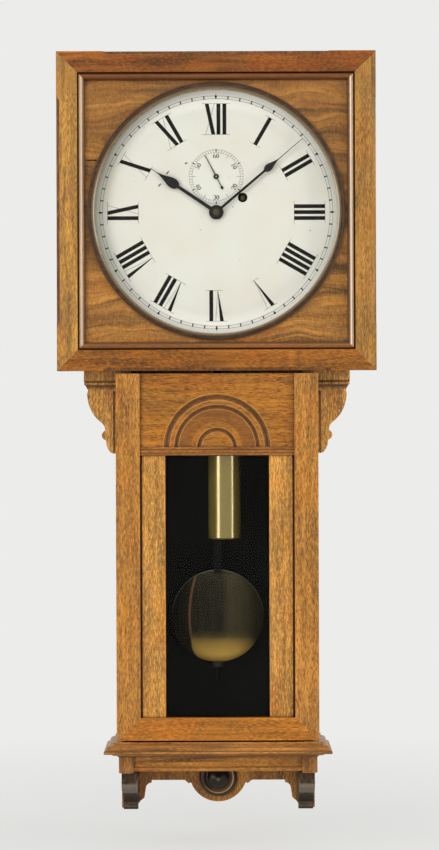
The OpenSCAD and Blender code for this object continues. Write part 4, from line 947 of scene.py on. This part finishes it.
def ribbon(path):
    """Outlines of the short pieces of a pen stroke."""
    pieces = []
    for (x0, z0, w0), (x1, z1, w1) in zip(path, path[1:]):
        size = math.hypot(x1 - x0, z1 - z0)
        nx, nz = (z0 - z1) / size * BOLD / 2, (x1 - x0) / size * BOLD / 2
        pieces.append([(x0 + nx * w0, z0 + nz * w0), (x0 - nx * w0, z0 - nz * w0),
                       (x1 - nx * w1, z1 - nz * w1), (x1 + nx * w1, z1 + nz * w1)])
    return pieces


def print_seconds():
    """Seconds dial: a tick ring, longer lines at the odd fives and a figure each ten, of
    which those in the lower half stand on their feet as seen by the reader."""
    shape = bmesh.new()
    for r in (SECONDS_R, SECONDS_R - SECONDS_W):
        hoop(shape, 0, SECONDS_Z, r - SECONDS_LINE / 2, r + SECONDS_LINE / 2, DIAL_FRONT,
             DIAL_FRONT + INK_T * 0.8, 96)
    for second in range(60):
        if second % 10 == 0:
            outline = TENTH_DART
        elif second % 5 == 0:
            outline = LONG_TICK
        else:
            outline = SECOND_TICK
        prism(shape, turned_about(outline, 6 * second, SECONDS_R, 0, SECONDS_Z), DIAL_FRONT,
              DIAL_FRONT + INK_T * 0.7)
    for value in range(10, 70, 10):
        size = -FIGURE if value in (20, 30, 40) else FIGURE
        for k, digit in enumerate(str(value)):
            for outline in [part for path in digit_paths(digit) for part in ribbon(path)]:
                shown = [((k - 0.5 + x) * size, z * size) for x, z in outline]
                prism(shape, turned_about(shown, 6 * value, FIGURE_R, 0, SECONDS_Z),
                      DIAL_FRONT, DIAL_FRONT + INK_T * (0.6 + 0.05 * k))
    return shape


# Worn marks on the dial: x, z, length, width, turn
MARKS = ((-70.5, 58, 8.5, 2.2, 52), (-82, 40, 7.5, 3.0, 50), (-43.5, 71.5, 5.0, 2.6, 28),
         (-22.8, -25, 1.8, 1.4, 0), (136, -27, 1.6, 2.6, 0), (24, 8, 2.2, 1.2, 20),
         (-125.4, -72, 2.2, 1.2, 30))
MARK_T = 0.05
MARK_POINTS = 11


def blot(shape, x, z, long, wide, degrees, seed):
    """One small worn mark with an uneven edge."""
    rng = random.Random(seed)
    points = []
    for i in range(MARK_POINTS):
        t = 2 * math.pi * i / MARK_POINTS
        k = 0.75 + 0.4 * rng.random()
        points.append((long / 2 * math.cos(t) * k, wide / 2 * math.sin(t) * k))
    prism(shape, turned_about(points, -degrees, 0, x, z), DIAL_FRONT, DIAL_FRONT + MARK_T)


def print_dial():
    add_piece("dial_numerals", print_numerals(), "case", "iron", INK)
    add_piece("minute_track", print_track(), "case", "iron", INK)
    add_piece("seconds_track", print_seconds(), "case", "iron", FADED)
    marks = bmesh.new()
    for seed, mark in enumerate(MARKS, 30):
        blot(marks, *mark, seed)
    add_piece("dial_marks", marks, "case", "dial_paint", STAIN)


SEAM_IN = RING_OUT + 0.7   # where a seam comes out from under the turned ring
BEAD_COVER = 8.6      # how much of the panel's edge the frame hides
SEAM_T = 0.04
SEAM_STEPS = 9
SEAMS = ((-1, 74, 2.6, 3), (-1, -43.5, 1.3, 4), (1, 24, 1.6, 5))   # side, z, width, seed
OPEN_MITRE = ((-29.5, -30.1), (-4, -4.7), (-4, -3.9))   # from the corner of the frame


def crack(shape, x0, x1, z, depth, width, seed):
    """A hairline seam in the panel, as a thin dark sliver with a wandering edge."""
    rng = random.Random(seed)
    upper, lower = [], []
    for i in range(SEAM_STEPS + 1):
        t = i / SEAM_STEPS
        w = width * (1 - 0.75 * t) * (0.7 + 0.6 * rng.random()) / 2
        mid = z + 0.8 * (rng.random() - 0.5)
        upper.append((x0 + (x1 - x0) * t, mid + w))
        lower.append((x0 + (x1 - x0) * t, mid - w))
    prism(shape, upper + lower[::-1], depth, depth + SEAM_T)


def panel_seams():
    """Open seams of the panel beside the ring, and the open mitre at the top right."""
    shape = bmesh.new()
    edge = half_width("dial_panel") - BEAD_COVER
    for side, z, width, seed in SEAMS:
        ring = math.sqrt(SEAM_IN ** 2 - z ** 2)
        crack(shape, side * ring, side * edge, z, front("dial_panel"), width, seed)
    add_piece("panel_seams", shape, "dial_door", "dark_wood", NEAR_BLACK)
    corner = bmesh.new()
    depth = front("dial_frame")
    prism(corner, [(FRAME_HALF + x, FRAME_HALF + z) for x, z in OPEN_MITRE], depth,
          depth + SEAM_T)
    add_piece("open_mitre", corner, "dial_door", "dark_wood", NEAR_BLACK)


def tube(points, radius, sides=12):
    """A tube along points, with closed ends."""
    shape = bmesh.new()
    rows = []
    for i, p in enumerate(points):
        ahead = points[min(i + 1, len(points) - 1)] - points[max(i - 1, 0)]
        ahead.normalize()
        across = ahead.cross(Vector((0, 1, 0))).normalized()
        other = ahead.cross(across).normalized()
        rows.append([shape.verts.new(p + radius * (math.cos(a) * across + math.sin(a) * other))
                     for a in (2 * math.pi * k / sides for k in range(sides))])
    for a, b in zip(rows, rows[1:]):
        for k in range(sides):
            shape.faces.new((a[k], a[(k + 1) % sides], b[(k + 1) % sides], b[k]))
    shape.faces.new(rows[0])
    shape.faces.new(rows[-1])
    bmesh.ops.recalc_face_normals(shape, faces=shape.faces)
    return shape


FALL_STEPS = 40
BIGHT_STEPS = 24
SPRING_STEPS = 16


def hang_cable():
    """Cable from the drum, round the pulley and up to the hook, as two falls and a bight."""
    low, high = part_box("weight_cable")
    pulley_low, pulley_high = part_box("weight_pulley")
    hook_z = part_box("cable_hook")[0][2]
    radius = (high[1] - low[1]) / 2
    run = (high[0] - low[0]) / 2 - radius
    x, y = (low[0] + high[0]) / 2, (low[1] + high[1]) / 2
    axis_z = (pulley_low[2] + pulley_high[2]) / 2
    right = [Vector((x + run, y, high[2] + (axis_z - high[2]) * i / FALL_STEPS))
             for i in range(FALL_STEPS)]
    bight = [Vector((x + run * math.cos(a), y, axis_z - run * math.sin(a)))
             for a in (math.pi * i / BIGHT_STEPS for i in range(BIGHT_STEPS + 1))]
    left = [Vector((x - run, y, axis_z + (hook_z - axis_z) * (i + 1) / FALL_STEPS))
            for i in range(FALL_STEPS)]
    piece = add_piece("cable_falls", tube(right + bight + left, radius), None, "cable", CABLE)
    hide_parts("weight_cable")
    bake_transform(piece)


def bend_spring():
    """Suspension spring, held in its cock, as a thin strip in rows."""
    low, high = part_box("suspension_spring")
    shape = bmesh.new()
    rows = []
    for i in range(SPRING_STEPS + 1):
        z = low[2] + (high[2] - low[2]) * i / SPRING_STEPS
        rows.append([shape.verts.new((x, y, z)) for x, y in (
            (low[0], low[1]), (high[0], low[1]), (high[0], high[1]), (low[0], high[1]))])
    for a, b in zip(rows, rows[1:]):
        for k in range(4):
            shape.faces.new((a[k], a[(k + 1) % 4], b[(k + 1) % 4], b[k]))
    shape.faces.new(rows[0])
    shape.faces.new(rows[-1])
    bmesh.ops.recalc_face_normals(shape, faces=shape.faces)
    piece = add_piece("spring_leaf", shape, None, "steel", STEEL)
    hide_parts("suspension_spring")
    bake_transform(piece)


# Camera, light and room

CAMERA_AT = (0.0036, -3.9, -0.5034)
LENS = 111.0
ROLL = 0.2            # degrees that the photograph is tilted by
LIT_POINT = (0, 0, -0.5)
UNSEEN_WORLD = colour(182, 182, 182)
FLOOR_DROP = 0.06
FLOOR_HALF = 6.0


def set_camera():
    data = bpy.data.cameras.new("camera")
    data.sensor_fit = "VERTICAL"
    data.sensor_height = 36.0
    data.lens = LENS
    camera = bpy.data.objects.new("camera", data)
    camera.location = CAMERA_AT
    camera.rotation_euler = (math.radians(90), math.radians(ROLL), 0)
    bpy.context.scene.collection.objects.link(camera)
    bpy.context.scene.camera = camera


def lamp(name, where, size, power):
    data = bpy.data.lights.new(name, "AREA")
    data.shape = "RECTANGLE"
    data.size, data.size_y = size
    data.energy = power
    light = bpy.data.objects.new(name, data)
    light.location = where
    light.rotation_euler = (Vector(LIT_POINT) - Vector(where)).to_track_quat(
        "-Z", "Y").to_euler()
    bpy.context.scene.collection.objects.link(light)


def set_lights():
    lamp("lamp_left", (-1.85, -2.06, -0.2), (0.76, 2.0), 29)
    lamp("lamp_right", (2.36, -1.42, -0.2), (0.76, 2.0), 29)
    lamp("lamp_top", (0, -2.4, 1.2), (2.4, 0.9), 17)


def when_seen(tree):
    """Socket that is 1 to the camera, in gloss and through glass, and 0 to other light."""
    path = tree.nodes.new("ShaderNodeLightPath").outputs
    most = path["Is Camera Ray"]
    for ray in ("Is Glossy Ray", "Is Transmission Ray"):
        larger = tree.nodes.new("ShaderNodeMath")
        larger.operation = "MAXIMUM"
        tree.links.new(most, larger.inputs[0])
        tree.links.new(path[ray], larger.inputs[1])
        most = larger.outputs[0]
    return most


def floor_paint():
    """Pale floor that takes the object's shadow and, further off, looks as the world does."""
    s = Shader("floor_pale")
    parts = s.parts()
    away = s.length(parts[0], parts[1])
    far = s.ramp(away, 300, 1400, 0.68, 1)
    s.set(Base_Color=PALE, Roughness=0.8, Specular_IOR_Level=0.1)
    glow = s.add("ShaderNodeEmission", {"Color": PALE})
    both = s.add("ShaderNodeMixShader", {
        0: s.times(when_seen(s.tree), far), 1: s.bsdf.outputs[0], 2: glow.outputs[0]})
    s.tree.links.new(both.outputs[0], s.output.inputs["Surface"])
    return s.mat


def set_room():
    world = bpy.data.worlds.new("studio")
    world.use_nodes = True
    bpy.context.scene.world = world
    tree = world.node_tree
    tone = tree.nodes.new("ShaderNodeMix")
    tone.data_type = "RGBA"
    tone.inputs[6].default_value = UNSEEN_WORLD
    tone.inputs[7].default_value = PALE
    tree.links.new(when_seen(tree), tone.inputs[0])
    tree.links.new(tone.outputs[2], tree.nodes["Background"].inputs["Color"])
    mesh = bpy.data.meshes.new("floor")
    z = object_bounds()[0][2] - FLOOR_DROP
    mesh.from_pydata([(x * FLOOR_HALF, y * FLOOR_HALF, z)
                      for x, y in ((-1, -1), (1, -1), (1, 1), (-1, 1))], [], [(0, 1, 2, 3)])
    floor = bpy.data.objects.new("floor", mesh)
    bpy.context.scene.collection.objects.link(floor)
    mesh.materials.append(floor_paint())


dress_case()
dress_doors()
dress_hands()
finish_nodes()
print_dial()
panel_seams()
hang_cable()
bend_spring()
set_camera()
set_lights()
set_room()
bpy.context.scene.view_settings.view_transform = "Standard"
